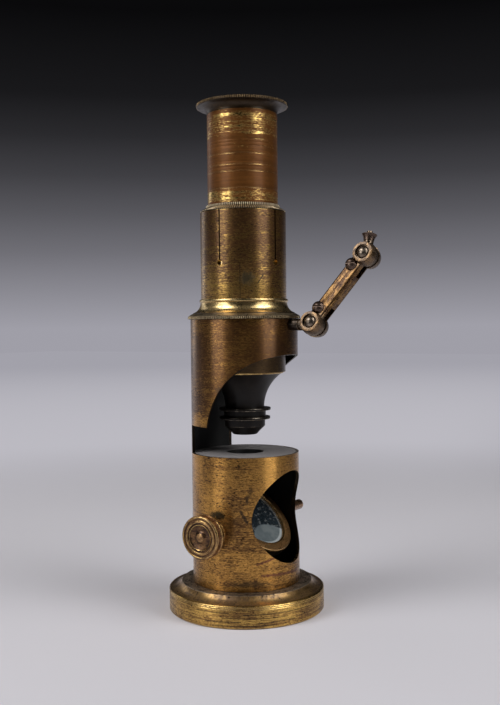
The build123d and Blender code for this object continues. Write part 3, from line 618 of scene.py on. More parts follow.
brass_finish("step", "foot_step", (0.66, 0.40, 0.15), (0.15, 0.09, 0.045), tarnish=0.56, blotch=6.0,
             weights=(0.8, 0.4, 0.4, 0.9), stains=0.35, gloss=(0.32, 0.46), veil=0.2, brushed=0.5,
             position=from_axis)
brass_finish("knob_dark", "knob_groove", (0.24, 0.13, 0.06), (0.05, 0.025, 0.016), tarnish=0.56, blotch=2.5,
             weights=(1.0, 0.8, 0.4, 0.0), stains=0.3, gloss=(0.34, 0.46), relief=0.1)
brass_finish("flange", "flange_edge", (0.42, 0.36, 0.28), (0.035, 0.03, 0.028), contrast=0.2, blotch=4.0,
             gloss=(0.25, 0.4), relief=0.1, coat=0.0)
brass_finish("steel", "pin_steel", (0.34, 0.28, 0.22), (0.12, 0.085, 0.06), blotch=2.0, stains=0.0,
             weights=(0.4, 0.2, 0.2, 0.0), gloss=(0.28, 0.4), relief=0.04, coat=0.0)
print("brass finishes", sorted(finish))

# %% [markdown]
# Inside the drum and on the objective the brass is blackened, so that no stray light reaches the eye. A
# flat black would look like a hole. This one is a very dark grey with a little dust and a soft sheen. The
# paint of the stage and the lead in the foot are mixed the same way. Lenses and mirror get their own glass.

# %% Mix the black, glass and lead finishes
pale_share = 0.34        # how far up the mirror its paler part reaches


def black_finish(label, name, dark, pale_tint, gloss, metallic=0.0, shine=0.2):
    material, tree, sockets = new_material(name + "_finish")
    place = in_millimetres(tree)
    cloud = noise(tree, place, 0.25, 7.0, 0.65)
    specks = noise(tree, place, 2.2, 2.0)
    paler = calc(tree, "ADD", calc(tree, "MULTIPLY", ramp_value(tree, cloud, 0.45, 0.75), 0.5),
                 calc(tree, "MULTIPLY", ramp_value(tree, specks, 0.68, 0.74), 0.6), clamp=True)
    fill(tree, sockets, {
        "Base Color": blend(tree, paler, (*dark, 1), (*pale_tint, 1)), "Metallic": metallic,
        "Roughness": ramp_value(tree, cloud, 0.3, 0.8, gloss - 0.08, gloss + 0.15),
        "Normal": bumped(tree, specks, 0.15, bump_depth), "Specular IOR Level": shine})
    finish[label] = material


def glass_finish():
    material, tree, sockets = new_material("lens_glass_finish")
    smear = noise(tree, in_millimetres(tree), 0.5, 5.0)
    fill(tree, sockets, {
        "Base Color": (0.92, 0.96, 0.96, 1), "Roughness": ramp_value(tree, smear, 0.4, 0.8, 0.02, 0.12),
        "Transmission Weight": 1.0, "IOR": 1.52})
    finish["glass"] = material


def mirror_finish():
    """Old silvering: blue grey, clouded, spotted where it has let go, paler towards the bottom, with a pale
    rim.
    """
    material, tree, sockets = new_material("silvered_glass_finish")
    place = in_millimetres(tree)
    cloud = noise(tree, place, 0.22, 6.0, 0.6)
    spots = noise(tree, place, 0.8, 0.0)
    low, high = (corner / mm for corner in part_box("mirror_glass"))
    radius = (high.x - low.x) / 2
    away = vector_calc(tree, "SUBTRACT", place, (low + high) / 2)
    rim = ramp_value(tree, vector_calc(tree, "LENGTH", away), radius - 2.5, radius - 1.9)
    sideways = split_xyz(tree, away)["X"]
    pale_line = low.z + pale_share * (high.z - low.z)
    sag = calc(tree, "MULTIPLY", sideways, sideways)
    pale_height = calc(tree, "MULTIPLY_ADD", sag, 0.03, along_axis(tree, place))
    pale_height = calc(tree, "MULTIPLY_ADD", cloud, 0.3, pale_height)
    paler = ramp_value(tree, pale_height, pale_line + 1.0, pale_line + 0.2)
    spotted = calc(tree, "MULTIPLY", ramp_value(tree, spots, 0.63, 0.68), calc(tree, "SUBTRACT", 1.0, paler))
    silver = blend(tree, ramp_value(tree, cloud, 0.35, 0.7), (0.12, 0.16, 0.19, 1), (0.065, 0.095, 0.12, 1))
    pale_tint = blend(tree, ramp_value(tree, cloud, 0.4, 0.65), (0.15, 0.18, 0.19, 1), (0.22, 0.25, 0.255, 1))
    silver = blend(tree, paler, silver, pale_tint)
    silver = blend(tree, calc(tree, "MULTIPLY", rim, 0.9), silver, (0.60, 0.64, 0.645, 1))
    fill(tree, sockets, {
        "Base Color": blend(tree, spotted, silver, (0.62, 0.66, 0.66, 1)),
        "Roughness": ramp_value(tree, cloud, 0.3, 0.8, 0.10, 0.26),
        "Metallic": calc(tree, "MULTIPLY_ADD", paler, -0.7, 0.8), "Coat Weight": 0.6})
    finish["silver"] = material


black_finish("black", "blackened", (0.006, 0.006, 0.006), (0.022, 0.020, 0.019), 0.5)
black_finish("optic", "objective_black", (0.008, 0.006, 0.005), (0.024, 0.018, 0.015), 0.38)
black_finish("stage", "stage_grey", (0.215, 0.20, 0.20), (0.30, 0.28, 0.275), 0.55, shine=0.3)
black_finish("lead", "lead", (0.20, 0.20, 0.22), (0.33, 0.33, 0.34), 0.55, metallic=0.8)
glass_finish()
mirror_finish()
print("finishes", len(finish))

# %% [markdown]
# Nearly everything here was turned on a lathe, so one helper spins an outline of radius and height. A sharp
# corner never shines, so the helper also rounds each corner of the outline, and gives the outer corners,
# where hands have rubbed, a second finish.

# %% Helpers for turned pieces
def curve_between(wide, narrow, steps=14):
    """A hollow arc between two outline points, running along the axis at the narrow one."""
    growth = wide[0] - narrow[0]
    height = wide[1] - narrow[1]
    radius = (growth**2 + height**2) / (2 * growth)
    points = []
    for step in range(steps + 1):
        rise = height * step / steps
        points.append((narrow[0] + radius - sqrt(radius**2 - rise**2), narrow[1] + rise))
    return points


def bulging(start, end, bulge, steps=10):
    """An arc from start to end that bulges to the right of the way, or to the left if it is negative."""
    start, end = Vector(start), Vector(end)
    chord = end - start
    side = Vector((chord.y, -chord.x)).normalized()
    radius = (chord.length**2 / 4 + bulge**2) / (2 * bulge)
    centre = (start + end) / 2 - side * (radius - bulge)
    half = asin(chord.length / 2 / radius)
    points = []
    for step in range(steps + 1):
        angle = half * (2 * step / steps - 1)
        points.append(tuple(centre + side * radius * cos(angle) + chord.normalized() * radius * sin(angle)))
    return points


def rounded(outline, radius, steps=3):
    """Round the corners of a closed outline that runs anticlockwise. Gives points and a mark per stretch."""
    made = []
    count = len(outline)
    for index in range(count):
        corner = Vector(outline[index])
        before = Vector(outline[index - 1]) - corner
        after = Vector(outline[(index + 1) % count]) - corner
        turn = before.angle(-after) if before.length and after.length else 0
        if turn < radians(22) or corner.x < 1e-6:
            made.append((tuple(corner), False))
            continue
        outer = before.cross(after) < 0
        cut = min(radius * tan(turn / 2), 0.4 * before.length, 0.4 * after.length)
        first = corner + before.normalized() * cut
        last = corner + after.normalized() * cut
        for step in range(steps + 1):
            share = step / steps
            point = first * (1 - share)**2 + corner * 2 * share * (1 - share) + last * share**2
            made.append((tuple(point), outer and step < steps))
    return made


def mesh_from(work, name, place=Matrix()):
    work.transform(place)
    mesh = bpy.data.meshes.new(name)
    work.to_mesh(mesh)
    work.free()
    return mesh


def shaded(mesh, sharp):
    """Smooth shading, except across edges that are sharper than so many degrees."""
    mesh.shade_smooth()
    mesh.set_sharp_from_angle(angle=radians(sharp))
    return mesh


def spin(name, outline, corner=0.2, sides=160, place=Matrix()):
    """A closed mesh turned about Z from an outline in millimetres. Worn corners get the second finish."""
    points = rounded(outline, corner)
    work = bmesh.new()
    rings = []
    for (radius, height), _ in points:
        if radius < 1e-6:
            rings.append([work.verts.new((0, 0, height * mm))] * sides)
            continue
        rings.append([work.verts.new((radius * mm * cos(2 * pi * side / sides),
                                      radius * mm * sin(2 * pi * side / sides), height * mm))
                      for side in range(sides)])
    for index, (_, worn) in enumerate(points):
        low, high = rings[index], rings[(index + 1) % len(rings)]
        if low[0] is low[1] and high[0] is high[1]:
            continue
        for side in range(sides):
            following = (side + 1) % sides
            ordered = []
            for vert in (low[side], low[following], high[following], high[side]):
                if vert not in ordered:
                    ordered.append(vert)
            face = work.faces.new(ordered)
            face.material_index = int(worn)
    return shaded(mesh_from(work, name, place), 38)


def paint(mesh, rule):
    """Give each face the finish, if any, that a rule picks from its distance from the axis and height."""
    for polygon in mesh.polygons:
        picked = rule(Vector(polygon.center).xy.length / mm, polygon.center.z / mm)
        if picked is not None:
            polygon.material_index = picked


def install(name, mesh, node, labels, instead=True):
    """Put a mesh in the scene on a node's body, with the finishes of its labels, and in the node's place."""
    for index, label in enumerate(labels):
        if index == len(mesh.materials):
            mesh.materials.append(None)
        mesh.materials[index] = finish[label]
    piece = put_in_scene(name, mesh)
    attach(piece, body_of[node])
    if instead:
        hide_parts(node)
    print(name, len(mesh.polygons), "faces, rides on", body_of[node])


def turn_piece(name, node, outline, labels, **options):
    install(name, spin(name, outline, **options), node, labels)


def heights(node):
    low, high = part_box(node)
    return low.z / mm, high.z / mm


def half_width(node):
    low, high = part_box(node)
    return (high.x - low.x) / 2 / mm


print("turning helpers ready")

# %% [markdown]
# The foot is a heavy turned ring with a hollow step, and with two fine grooves round its rim. The grooves
# are cut in the outline, because at this size they catch a real shadow.

# %% Turn the foot
foot_radius = half_width("foot")
drum_radius = half_width("drum")
drum_low, drum_high = heights("drum")
spigot_top = heights("foot")[1]
foot_top = drum_low
plate_radius = half_width("foot_plate")
plate_gap = 0.05
plate_depth = 1.0
rim_height = foot_top - 2.4
rim_edge = 0.5
rim_bevel = (0.4, 0.3)       # across and down
step_start = foot_radius - 1.0
step_outside = foot_radius - 1.2
step_inside = foot_radius - 4.9
step_hollow = 0.6
seat_outside = drum_radius + 0.6
seat_inside = drum_radius + 0.35
spigot_radius = drum_radius - 1.2
groove = 0.16
groove_heights = (rim_height - 1.35, rim_height - 0.75)


def foot_outline():
    outline = [(plate_radius, plate_gap), (foot_radius - rim_edge, 0.0), (foot_radius, rim_edge)]
    for height in groove_heights:
        outline += [(foot_radius, height - groove), (foot_radius - groove, height),
                    (foot_radius, height + groove)]
    outline += [(foot_radius, rim_height - rim_bevel[1]), (foot_radius - rim_bevel[0], rim_height),
                (step_start, rim_height)]
    outline += bulging((step_outside, rim_height), (step_inside, foot_top), -step_hollow)
    outline += [(seat_outside, foot_top), (seat_inside, foot_top - groove),
                (spigot_radius, foot_top - groove), (spigot_radius, spigot_top), (0, spigot_top),
                (0, plate_depth), (plate_radius, plate_depth)]
    return outline


def ledge_or_step(radius, height):
    if height > foot_top - 0.25:
        return 2
    return 3 if height > rim_height - 0.05 and radius < foot_radius - 1.1 else None


foot_mesh = spin("foot_turned", foot_outline(), corner=0.25, sides=192)
paint(foot_mesh, ledge_or_step)
install("foot_turned", foot_mesh, "foot", ("foot", "edge", "ledge", "step"))

# %% [markdown]
# The drum is a thin tube with openings: the mirror window, the wide arch above the stage, the slot that a
# slide passes through, and the holes of the axle and the arm. Cutters take them out with Boolean modifiers.
# The inner wall is black, and the cut edges are dark brass, but bright where they face up: that brightness
# is painted light, where light from above falls on them.

# %% Cut the drum
drum_wall = 1.1
axle_height = sum(heights("mirror_axle")) / 2
stage_top = heights("stage_plate")[1]
stud_low, stud_high = heights("stud_bush")
stud_middle = (stud_low + stud_high) / 2
stud_hole = (stud_high - stud_low) / 2 + 0.03
bush_hole = 3.29
window_half_width = drum_radius - 4.4
window_half_height = 17.4
window_centre = axle_height + 4.3
slot_height = 10.8
slot_back = drum_radius - 5.3
arch_radius = 33.6
arch_centre = (6.1 - arch_radius, stage_top + 4.74)
arch_turn = radians(4)
TO_FRONT = Matrix.Rotation(pi / 2, 4, "X")
TO_RIGHT = Matrix.Rotation(pi / 2, 4, "Y")


def cover(mesh, labels):
    for label in labels:
        mesh.materials.append(finish[label])


def cutter(name, outline, depth, place, labels):
    """A prism of a flat outline in millimetres, centred on its own Z. Its cuts get the third finish."""
    work = bmesh.new()
    floor = [work.verts.new((x * mm, y * mm, -depth * mm)) for x, y in outline]
    roof = [work.verts.new((x * mm, y * mm, depth * mm)) for x, y in outline]
    work.faces.new(reversed(floor))
    work.faces.new(roof)
    for index in range(len(outline)):
        following = (index + 1) % len(outline)
        work.faces.new((floor[index], floor[following], roof[following], roof[index]))
    for face in work.faces:
        face.material_index = 2
    mesh = mesh_from(work, name, place)
    cover(mesh, labels)
    return put_in_scene(name, mesh)


def oval(half_x, half_y, sides):
    angles = [2 * pi * side / sides for side in range(sides)]
    return [(half_x * cos(angle), half_y * sin(angle)) for angle in angles]


def arch_outline(steps=96):
    """The arch seen along X: the part of a big circle that lies above the stage, as (-height, y)."""
    centre_y, centre_z = arch_centre
    reach = asin((stage_top - centre_z) / arch_radius)
    outline = []
    for step in range(steps + 1):
        angle = reach + (pi - 2 * reach) * step / steps
        outline.append((-(centre_z + arch_radius * sin(angle)), centre_y + arch_radius * cos(angle)))
    return outline


def finished(piece):
    """The evaluated mesh of an object whose modifiers are then dropped with it."""
    bpy.context.view_layer.update()
    graph = bpy.context.evaluated_depsgraph_get()
    mesh = bpy.data.meshes.new_from_object(piece.evaluated_get(graph))
    mesh.name = piece.name
    old = piece.data
    bpy.data.objects.remove(piece)
    bpy.data.meshes.remove(old)
    return mesh


def cut_away(shell, cutters, labels):
    """The mesh that is left of a shell when the cutters have been taken out of it."""
    cover(shell, labels)
    piece = put_in_scene(shell.name, shell)
    for tool in cutters:
        cut = piece.modifiers.new(tool.name, "BOOLEAN")
        cut.operation = "DIFFERENCE"
        cut.solver = "EXACT"
        cut.object = tool
    mesh = finished(piece)
    for tool in cutters:
        bpy.data.objects.remove(tool)
    return shaded(mesh, 30)


def cut_drum():
    labels = ("drum", "black", "cut")
    bore = drum_radius - drum_wall
    outline = [(bore, drum_low), (drum_radius, drum_low), (drum_radius, drum_high), (bore, drum_high)]
    shell = spin("drum_shell", outline, corner=0.02, sides=288)
    paint(shell, lambda radius, height: int(radius < bore + 0.1))
    across = 2 * drum_radius
    front = Matrix.Translation((0, -across * mm, 0)) @ TO_FRONT
    window_lift, axle_lift, stud_lift = (
        Matrix.Translation((0, 0, height * mm)) for height in (window_centre, axle_height, stud_middle))
    slot_middle = Matrix.Translation((0, (slot_back - across) * mm, (stage_top + slot_height / 2) * mm))
    slot_outline = [(-across, -across), (across, -across), (across, across), (-across, across)]
    window = oval(window_half_width, window_half_height, 128)
    cutters = [
        cutter("cut_window", window, across, window_lift @ front, labels),
        cutter("cut_arch", arch_outline(), across, Matrix.Rotation(arch_turn, 4, "Z") @ TO_RIGHT, labels),
        cutter("cut_slot", slot_outline, slot_height / 2, slot_middle, labels),
        cutter("cut_axle", oval(bush_hole, bush_hole, 48), across, axle_lift @ TO_RIGHT, labels),
        cutter("cut_stud", oval(stud_hole, stud_hole, 48), across, stud_lift @ front, labels),
    ]
    mesh = cut_away(shell, cutters, labels)
    # Painted light: cut faces that face up get the bright brass of worn edges.
    for polygon in mesh.polygons:
        if polygon.material_index == 2 and polygon.normal.z > 0.9:
            polygon.material_index = 3
    return mesh


install("drum_shell", cut_drum(), "drum", ("drum", "black", "cut", "edge"))

# %% [markdown]
# The stage is a flat plate let into the drum, painted grey and flush with the wall, with a round hole for
# the light. A ring under it carries the plate.

# %% Turn the stage
stage_low = heights("stage_plate")[0]
stage_radius = half_width("stage_plate")
stage_hole = 7.0
stage_edge = 0.2
stage_mesh = spin("stage_turned", [
    (stage_hole, stage_low), (stage_radius, stage_low), (stage_radius, stage_top),
    (stage_hole + stage_edge, stage_top), (stage_hole, stage_top - stage_edge)], corner=0.1)
paint(stage_mesh, lambda radius, height: int(radius < stage_hole + 0.05))
install("stage_turned", stage_mesh, "stage_plate", ("stage", "black"))

# %% [markdown]
# Milled rims repeat one small rib round a circle, which is work for Geometry Nodes. The tree below takes the
# number of ribs and their size by name, stands a rib on each point of a circle, leans it, and makes real
# geometry of the lot. Five rims use it: one on the cap, two on the collar, one on the eyepiece and one on
# the knob.

# %% Build the milled rim tree
def milled_rim_tree():
    tree = bpy.data.node_groups.new("milled_rim", "GeometryNodeTree")
    for label, kind in (("Ribs", "NodeSocketInt"), ("Rim Radius", NUMBER), ("Height", NUMBER),
                        ("Rib Radius", NUMBER), ("Rib Length", NUMBER), ("Lean", NUMBER),
                        ("Finish", "NodeSocketMaterial")):
        tree.interface.new_socket(label, in_out="INPUT", socket_type=kind)
    tree.interface.new_socket("Geometry", in_out="OUTPUT", socket_type="NodeSocketGeometry")
    given = tree.nodes.new("NodeGroupInput").outputs
    circle = add(tree, "GeometryNodeMeshCircle", {"Vertices": given["Ribs"], "Radius": given["Rim Radius"]})
    rib = add(tree, "GeometryNodeMeshCylinder",
              {"Vertices": 8, "Radius": given["Rib Radius"], "Depth": given["Rib Length"]})
    index = add(tree, "GeometryNodeInputIndex").outputs[0]
    angle = calc(tree, "DIVIDE", calc(tree, "MULTIPLY", index, 2 * pi), given["Ribs"])
    turn = join_xyz(tree, y=given["Lean"], z=angle)
    standing = add(tree, "GeometryNodeInstanceOnPoints",
                   {"Points": circle.outputs[0], "Instance": rib.outputs[0], "Rotation": turn})
    real = add(tree, "GeometryNodeRealizeInstances", {0: standing.outputs[0]})
    lifted = add(tree, "GeometryNodeSetPosition",
                 {"Geometry": real.outputs[0], "Offset": join_xyz(tree, z=given["Height"])})
    finished_rim = add(tree, "GeometryNodeSetMaterial",
                       {"Geometry": lifted.outputs[0], "Material": given["Finish"]})
    end = tree.nodes.new("NodeGroupOutput")
    tree.links.new(finished_rim.outputs[0], end.inputs[0])
    return tree


milled_rim = milled_rim_tree()


def mill(name, node, label, place=Matrix(), **sizes):
    """A ring of ribs. Sizes in millimetres, by the tree's input names with underscores for spaces."""
    carrier = put_in_scene(name, bpy.data.meshes.new(name))
    modifier = carrier.modifiers.new("milled_rim", "NODES")
    modifier.node_group = milled_rim
    items = milled_rim.interface.items_tree
    sockets = {item.name: item.identifier for item in items if item.in_out == "INPUT"}
    modifier[sockets["Finish"]] = finish[label]
    for key, value in sizes.items():
        plain = key in ("Ribs", "Lean")
        modifier[sockets[key.replace("_", " ")]] = value if plain else value * mm
    mesh = finished(carrier)
    mesh.transform(place)
    install(name, shaded(mesh, 50), node, (label,), instead=False)


print("milled rim tree", len(milled_rim.nodes), "nodes")

# %% [markdown]
# The cap closes the drum: a milled rim, a polished flare like the bell of a horn, and a bead where the
# sleeve begins. Only the rim is milled, so it is turned a little small and the ribs bring it back to size.

# %% Turn and mill the cap
cap_radius = half_width("drum_cap")
cap_top = heights("drum_cap")[1]
cap_rim_top = drum_high + 2.4
slope_foot = cap_rim_top - 1.3
flare_foot = drum_radius - 1.1
cap_bore = half_width("spring_sleeve") - 0.57
cap_spigot = cap_bore + 1.6
spigot_length = 3.0
bead_height = 1.3
bead_bulge = 0.39
flare_top = cap_top - bead_height
neck_radius = cap_bore + 0.82
cap_edge = 0.3
cap_ribs = 175
rib_depth = 0.26


def cap_outline():
    rim = cap_radius - rib_depth
    outline = [(cap_bore, drum_high - spigot_length), (cap_spigot, drum_high - spigot_length),
               (cap_spigot, drum_high), (rim - cap_edge, drum_high), (rim, drum_high + cap_edge),
               (rim, slope_foot - 0.1), (cap_radius - 0.06, slope_foot),
               (flare_foot + 0.4, cap_rim_top - 0.3), (flare_foot + 0.15, cap_rim_top - 0.35)]
    outline += reversed(curve_between((flare_foot, cap_rim_top), (neck_radius, flare_top))[1:])
    outline += bulging((neck_radius, flare_top), (neck_radius, cap_top), bead_bulge)
    outline += [(cap_bore, cap_top)]
    return outline


def rim_or_slope(radius, height):
    in_groove = flare_foot < radius < flare_foot + 0.3 and height > cap_rim_top - 0.37
    if height < slope_foot - 0.15 or in_groove:
        return 2
    return 3 if radius > flare_foot + 0.3 else None


cap_mesh = spin("cap_turned", cap_outline(), corner=0.12, sides=192)
paint(cap_mesh, rim_or_slope)
install("cap_turned", cap_mesh, "drum_cap", ("flare", "edge", "eyepiece", "rim"))
mill("cap_milling", "drum_cap", "milled", Ribs=cap_ribs, Rim_Radius=cap_radius - rib_depth,
     Height=(drum_high + slope_foot) / 2, Rib_Radius=rib_depth, Rib_Length=0.9, Lean=0.0)

# %% [markdown]
# The sleeve grips the tube inside it because it is sawn into springy strips. Each saw cut ends in a round
# hole, so that the brass doesn't tear. Two cutters with the outline of a keyhole go right through the tube,
# so each of them makes two slits.

# %% Cut the sleeve
sleeve_low, sleeve_high = heights("spring_sleeve")
sleeve_radius = half_width("spring_sleeve")
sleeve_bore = sleeve_radius - 1.3
sleeve_neck = sleeve_radius - 0.6
slit_end = sleeve_high - 19.6
slit_half = 0.3
slit_hole = 1.1
saw_cut_turns = (0.0, 79.0)


def keyhole(steps=32):
    """A slit that runs up from a round hole, as (-height, y)."""
    open_end = -(sleeve_high + 1.0)
    start = pi + asin(slit_half / slit_hole)
    outline = [(open_end, slit_half), (open_end, -slit_half)]
    for step in range(steps + 1):
        angle = start + (2 * pi - 2 * (start - pi)) * step / steps
        outline.append((slit_hole * cos(angle) - slit_end, slit_hole * sin(angle)))
    return outline


def cut_sleeve(labels):
    outline = [(sleeve_bore, sleeve_low), (sleeve_neck, sleeve_low), (sleeve_neck, cap_top),
               (sleeve_radius, cap_top), (sleeve_radius, sleeve_high), (sleeve_bore, sleeve_high)]
    shell = spin("sleeve_split", outline, corner=0.12, sides=288)
    turns = [Matrix.Rotation(radians(turn), 4, "Z") for turn in saw_cut_turns]
    cutters = [cutter("saw_cut", keyhole(), 2 * sleeve_radius, turn @ TO_RIGHT, labels) for turn in turns]
    mesh = cut_away(shell, cutters, labels)
    for polygon in mesh.polygons:
        # Painted light: the walls of the round holes get the bright brass of worn edges, so the holes look
        # lit inside.
        if polygon.material_index == 2 and polygon.center.z < (slit_end + 0.9) * mm:
            polygon.material_index = 1
    return mesh


sleeve_labels = ("sleeve", "edge", "cut")
install("sleeve_split", cut_sleeve(sleeve_labels), "spring_sleeve", sleeve_labels)

# %% [markdown]
# The focus collar is the tight ring that guides the draw tube. It is screwed into the body tube, at the end
# of the sleeve. Its cone is milled with ribs that lean with the slope, and so is the small ring above it.

# %% Turn and mill the collar
collar_top = heights("focus_collar")[1]
collar_bottom = collar_top - 2.4
collar_radius = half_width("focus_collar")
collar_bore = 13.56
screw_radius = 14.05         # of what is screwed into the body tube
screw_end = collar_bottom - 10.4
cone_low = collar_bottom + 0.3
cone_high = collar_top - 0.8
ring_radius = collar_bore + 0.64
slope = atan2(collar_radius - ring_radius, cone_high - cone_low)
collar_rib = 0.22
ring_rib = 0.2
collar_ribs = 118


def collar_outline():
    rim = collar_radius - collar_rib
    ring = ring_radius - ring_rib
    return [(collar_bore, screw_end), (screw_radius, screw_end), (screw_radius, collar_bottom),
            (rim, collar_bottom), (rim, cone_low - collar_rib), (ring, cone_high - collar_rib),
            (ring, collar_top), (collar_bore, collar_top)]


turn_piece("collar_turned", "focus_collar", collar_outline(), ("eyepiece", "eyepiece"), corner=0.08)
mill("collar_milling", "focus_collar", "rim", Ribs=collar_ribs, Lean=-slope, Rib_Radius=collar_rib,
     Rim_Radius=(collar_radius + ring_radius) / 2 - collar_rib * cos(slope),
     Height=(cone_low + cone_high) / 2 - collar_rib * sin(slope), Rib_Length=2.5)
mill("collar_ring_milling", "focus_collar", "ring", Ribs=collar_ribs, Lean=0.0, Rib_Radius=ring_rib,
     Rim_Radius=ring_radius - ring_rib, Height=(cone_high + collar_top) / 2, Rib_Length=0.76)

# %% [markdown]
# The draw tube is pulled out to change the magnification, and scored rings on it mark old settings. They are
# cut as fine grooves in the outline. Its lacquer is red brown, and rubbed off at the two ends of its travel.

# %% Turn the draw tube
draw_radius = half_width("draw_tube")
draw_low, draw_high = heights("draw_tube")
draw_bore = draw_radius - 1.0
score_half = 0.18
scores = ((160.4, 0.10), (166.7, 0.10), (168.2, 0.05), (169.2, 0.10), (170.2, 0.05), (173.3, 0.10),
          (176.0, 0.06), (177.3, 0.06), (178.4, 0.06), (181.4, 0.10))        # height and depth


def draw_outline():
    outline = [(draw_bore, draw_low), (draw_radius, draw_low)]
    for height, depth in scores:
        outline += [(draw_radius, height - score_half), (draw_radius - depth, height),
                    (draw_radius, height + score_half)]
    return outline + [(draw_radius, draw_high), (draw_bore, draw_high)]


turn_piece("draw_tube_turned", "draw_tube", draw_outline(), ("tube", "edge"), corner=0.1)

# %% [markdown]
# The eyepiece ends in a flange that a cove joins to the tube, with a milled edge and a dished top round the
# eye hole, so that the eye can come close.

# %% Turn and mill the eyepiece
eye_radius = half_width("eyepiece_cap")
tail_low, eye_top = heights("eyepiece_cap")
tail_radius = 11.6
tail_bore = 7.23
tail_roof = eye_top - 3.0
eye_hole = 4.0
dish_radius = eye_radius - 3.6
dish_floor = eye_top - 2.0
cove_low = draw_high + 0.02
cove_top = draw_high + 2.8
flange_foot = 0.2
flange_edge = 0.4
eye_ribs = 125
eye_rib = 0.30


def eyepiece_outline():
    rim = eye_radius - eye_rib
    outline = [(tail_bore, tail_low), (tail_radius, tail_low), (tail_radius, cove_low)]
    outline += curve_between((rim - 0.5, cove_top), (draw_radius, cove_low))
    outline += [(rim - flange_foot, cove_top), (rim, cove_top + flange_foot), (rim, eye_top - flange_edge),
                (rim - flange_edge, eye_top), (dish_radius, eye_top), (eye_hole, dish_floor),
                (eye_hole, tail_roof), (tail_bore, tail_roof)]
    return outline


turn_piece("eyepiece_turned", "eyepiece_cap", eyepiece_outline(), ("eyepiece", "eyepiece"), sides=192)
mill("eyepiece_milling", "eyepiece_cap", "eye_rib", Ribs=eye_ribs, Rim_Radius=eye_radius - eye_rib,
     Height=(cove_top + eye_top) / 2 - 0.05, Rib_Radius=eye_rib, Rib_Length=0.85, Lean=0.0)

# %% [markdown]
# The objective hangs in the arch: a black trumpet, and two screwed cells with thin flanges to unscrew them
# by. Black wears through to brass on such thin edges, which is the light line on each flange.

# %% Turn the objective
body_low = heights("body_tube")[0]
nose_low, nose_high = heights("nose_cone")
nose_top_radius = half_width("body_tube") - 0.74
nose_foot = 7.5
nose_bore = 6.0
nose_cup = 12.9
funnel_end = body_low - 6.6
flange_thickness = 0.9


def nose_outline():
    outline = [(nose_bore, nose_low)]
    outline += curve_between((nose_top_radius, body_low), (nose_foot, nose_low), steps=20)
    outline += [(screw_radius, body_low), (screw_radius, nose_high), (nose_cup, nose_high),
                (nose_cup, body_low), (nose_bore, funnel_end)]
    return outline


def upper_cell_outline():
    low, high = heights("upper_cell")
    barrel, flange, screw, socket, shelf, stop = 8.1, 10.0, 5.95, 5.53, 4.97, 3.97
    flange_low = nose_low - flange_thickness
    shelf_low = high - 1.8
    socket_top = low + 1.73
    return [(socket, low), (barrel, low), (barrel, flange_low), (flange, flange_low), (flange, nose_low),
            (screw, nose_low), (screw, high), (shelf, high), (shelf, shelf_low), (stop, shelf_low),
            (stop, socket_top), (socket, socket_top)]


def lower_cell_outline():
    low, high = heights("lower_cell")
    barrel, flange, screw, shelf, hole = 7.8, 9.8, 5.5, 4.5, 2.6
    mouth, tip, shoulder = 3.4, 4.6, 5.8
    shoulder_height = low + 1.3
    hole_low = low + 0.8
    flange_top = heights("upper_cell")[0]
    flange_low = flange_top - flange_thickness
    barrel_low = flange_top - 3.6
    return [(mouth, low), (tip, low), (shoulder, shoulder_height), (barrel, barrel_low),
            (barrel, flange_low), (flange, flange_low), (flange, flange_top), (screw, flange_top),
            (screw, high), (shelf, high), (shelf, barrel_low), (hole, barrel_low), (hole, hole_low)]


turn_piece("nose_turned", "nose_cone", nose_outline(), ("optic", "flange"), corner=0.15)
turn_piece("upper_cell_turned", "upper_cell", upper_cell_outline(), ("optic", "flange"), corner=0.15)
turn_piece("lower_cell_turned", "lower_cell", lower_cell_outline(), ("optic", "flange"), corner=0.15)

# %% [markdown]
# The mirror turns on an axle with a knob outside the drum. The knob's face has rings and a small boss, and
# its edge is milled between two plain ridges. It is turned about Z like the rest and laid along the axle.

# %% Turn and mill the knob
knob_low, knob_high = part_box("mirror_knob")
knob_face = -knob_low.x / mm
knob_neck_end = -knob_high.x / mm
knob_neck = 3.6
knob_radius = (knob_high.z - knob_low.z) / 2 / mm
knob_side = knob_radius - 0.3
knob_back = knob_face - 4.0
knob_edge = 0.4
ridge_end = 0.8
ridge_foot = 1.1
knob_rings = (knob_radius - 0.8, knob_radius - 2.4)
ring_profile = ((0, 0), (0.15, 0.5), (0.75, 0.5), (0.9, 0.1))                    # inwards and deep
knob_boss = ((4.2, 0.6), (2.4, 0.9), (2.2, 0.75), (1.5, 0.2), (0.7, 0), (0, 0))     # radius and depth
groove_depths = (0.35, 1.0)
groove_reach = 7.0
knob_middle = Vector((0, 0, axle_height * mm))
knob_place = Matrix.Translation(knob_middle) @ Matrix.Rotation(-pi / 2, 4, "Y")
knob_ribs = 72
knob_rib = 0.22
brass_finish("knob_face", "knob_face", (0.62, 0.37, 0.155), (0.125, 0.058, 0.032), tarnish=0.56, blotch=2.2,
             weights=(1.0, 0.6, 0.4, 0.6), stains=0.4, gloss=(0.30, 0.45), relief=0.25, position=from_axis,
             centre=knob_middle, turn=(0, -pi / 2, 0))


def knob_outline():
    outline = [(knob_neck, knob_neck_end), (knob_neck, knob_back), (knob_radius - knob_edge, knob_back)]
    edge = ((knob_radius, knob_edge), (knob_radius, ridge_end), (knob_side, ridge_foot))
    outline += [(radius, knob_back + depth) for radius, depth in edge]
    outline += [(radius, knob_face - depth) for radius, depth in reversed(edge)]
    outline += [(knob_radius - knob_edge, knob_face)]
    for ring in knob_rings:
        outline += [(ring - inwards, knob_face - depth) for inwards, depth in ring_profile]
    outline += [(radius, knob_face - depth) for radius, depth in knob_boss]
    return outline + [(0, knob_neck_end)]


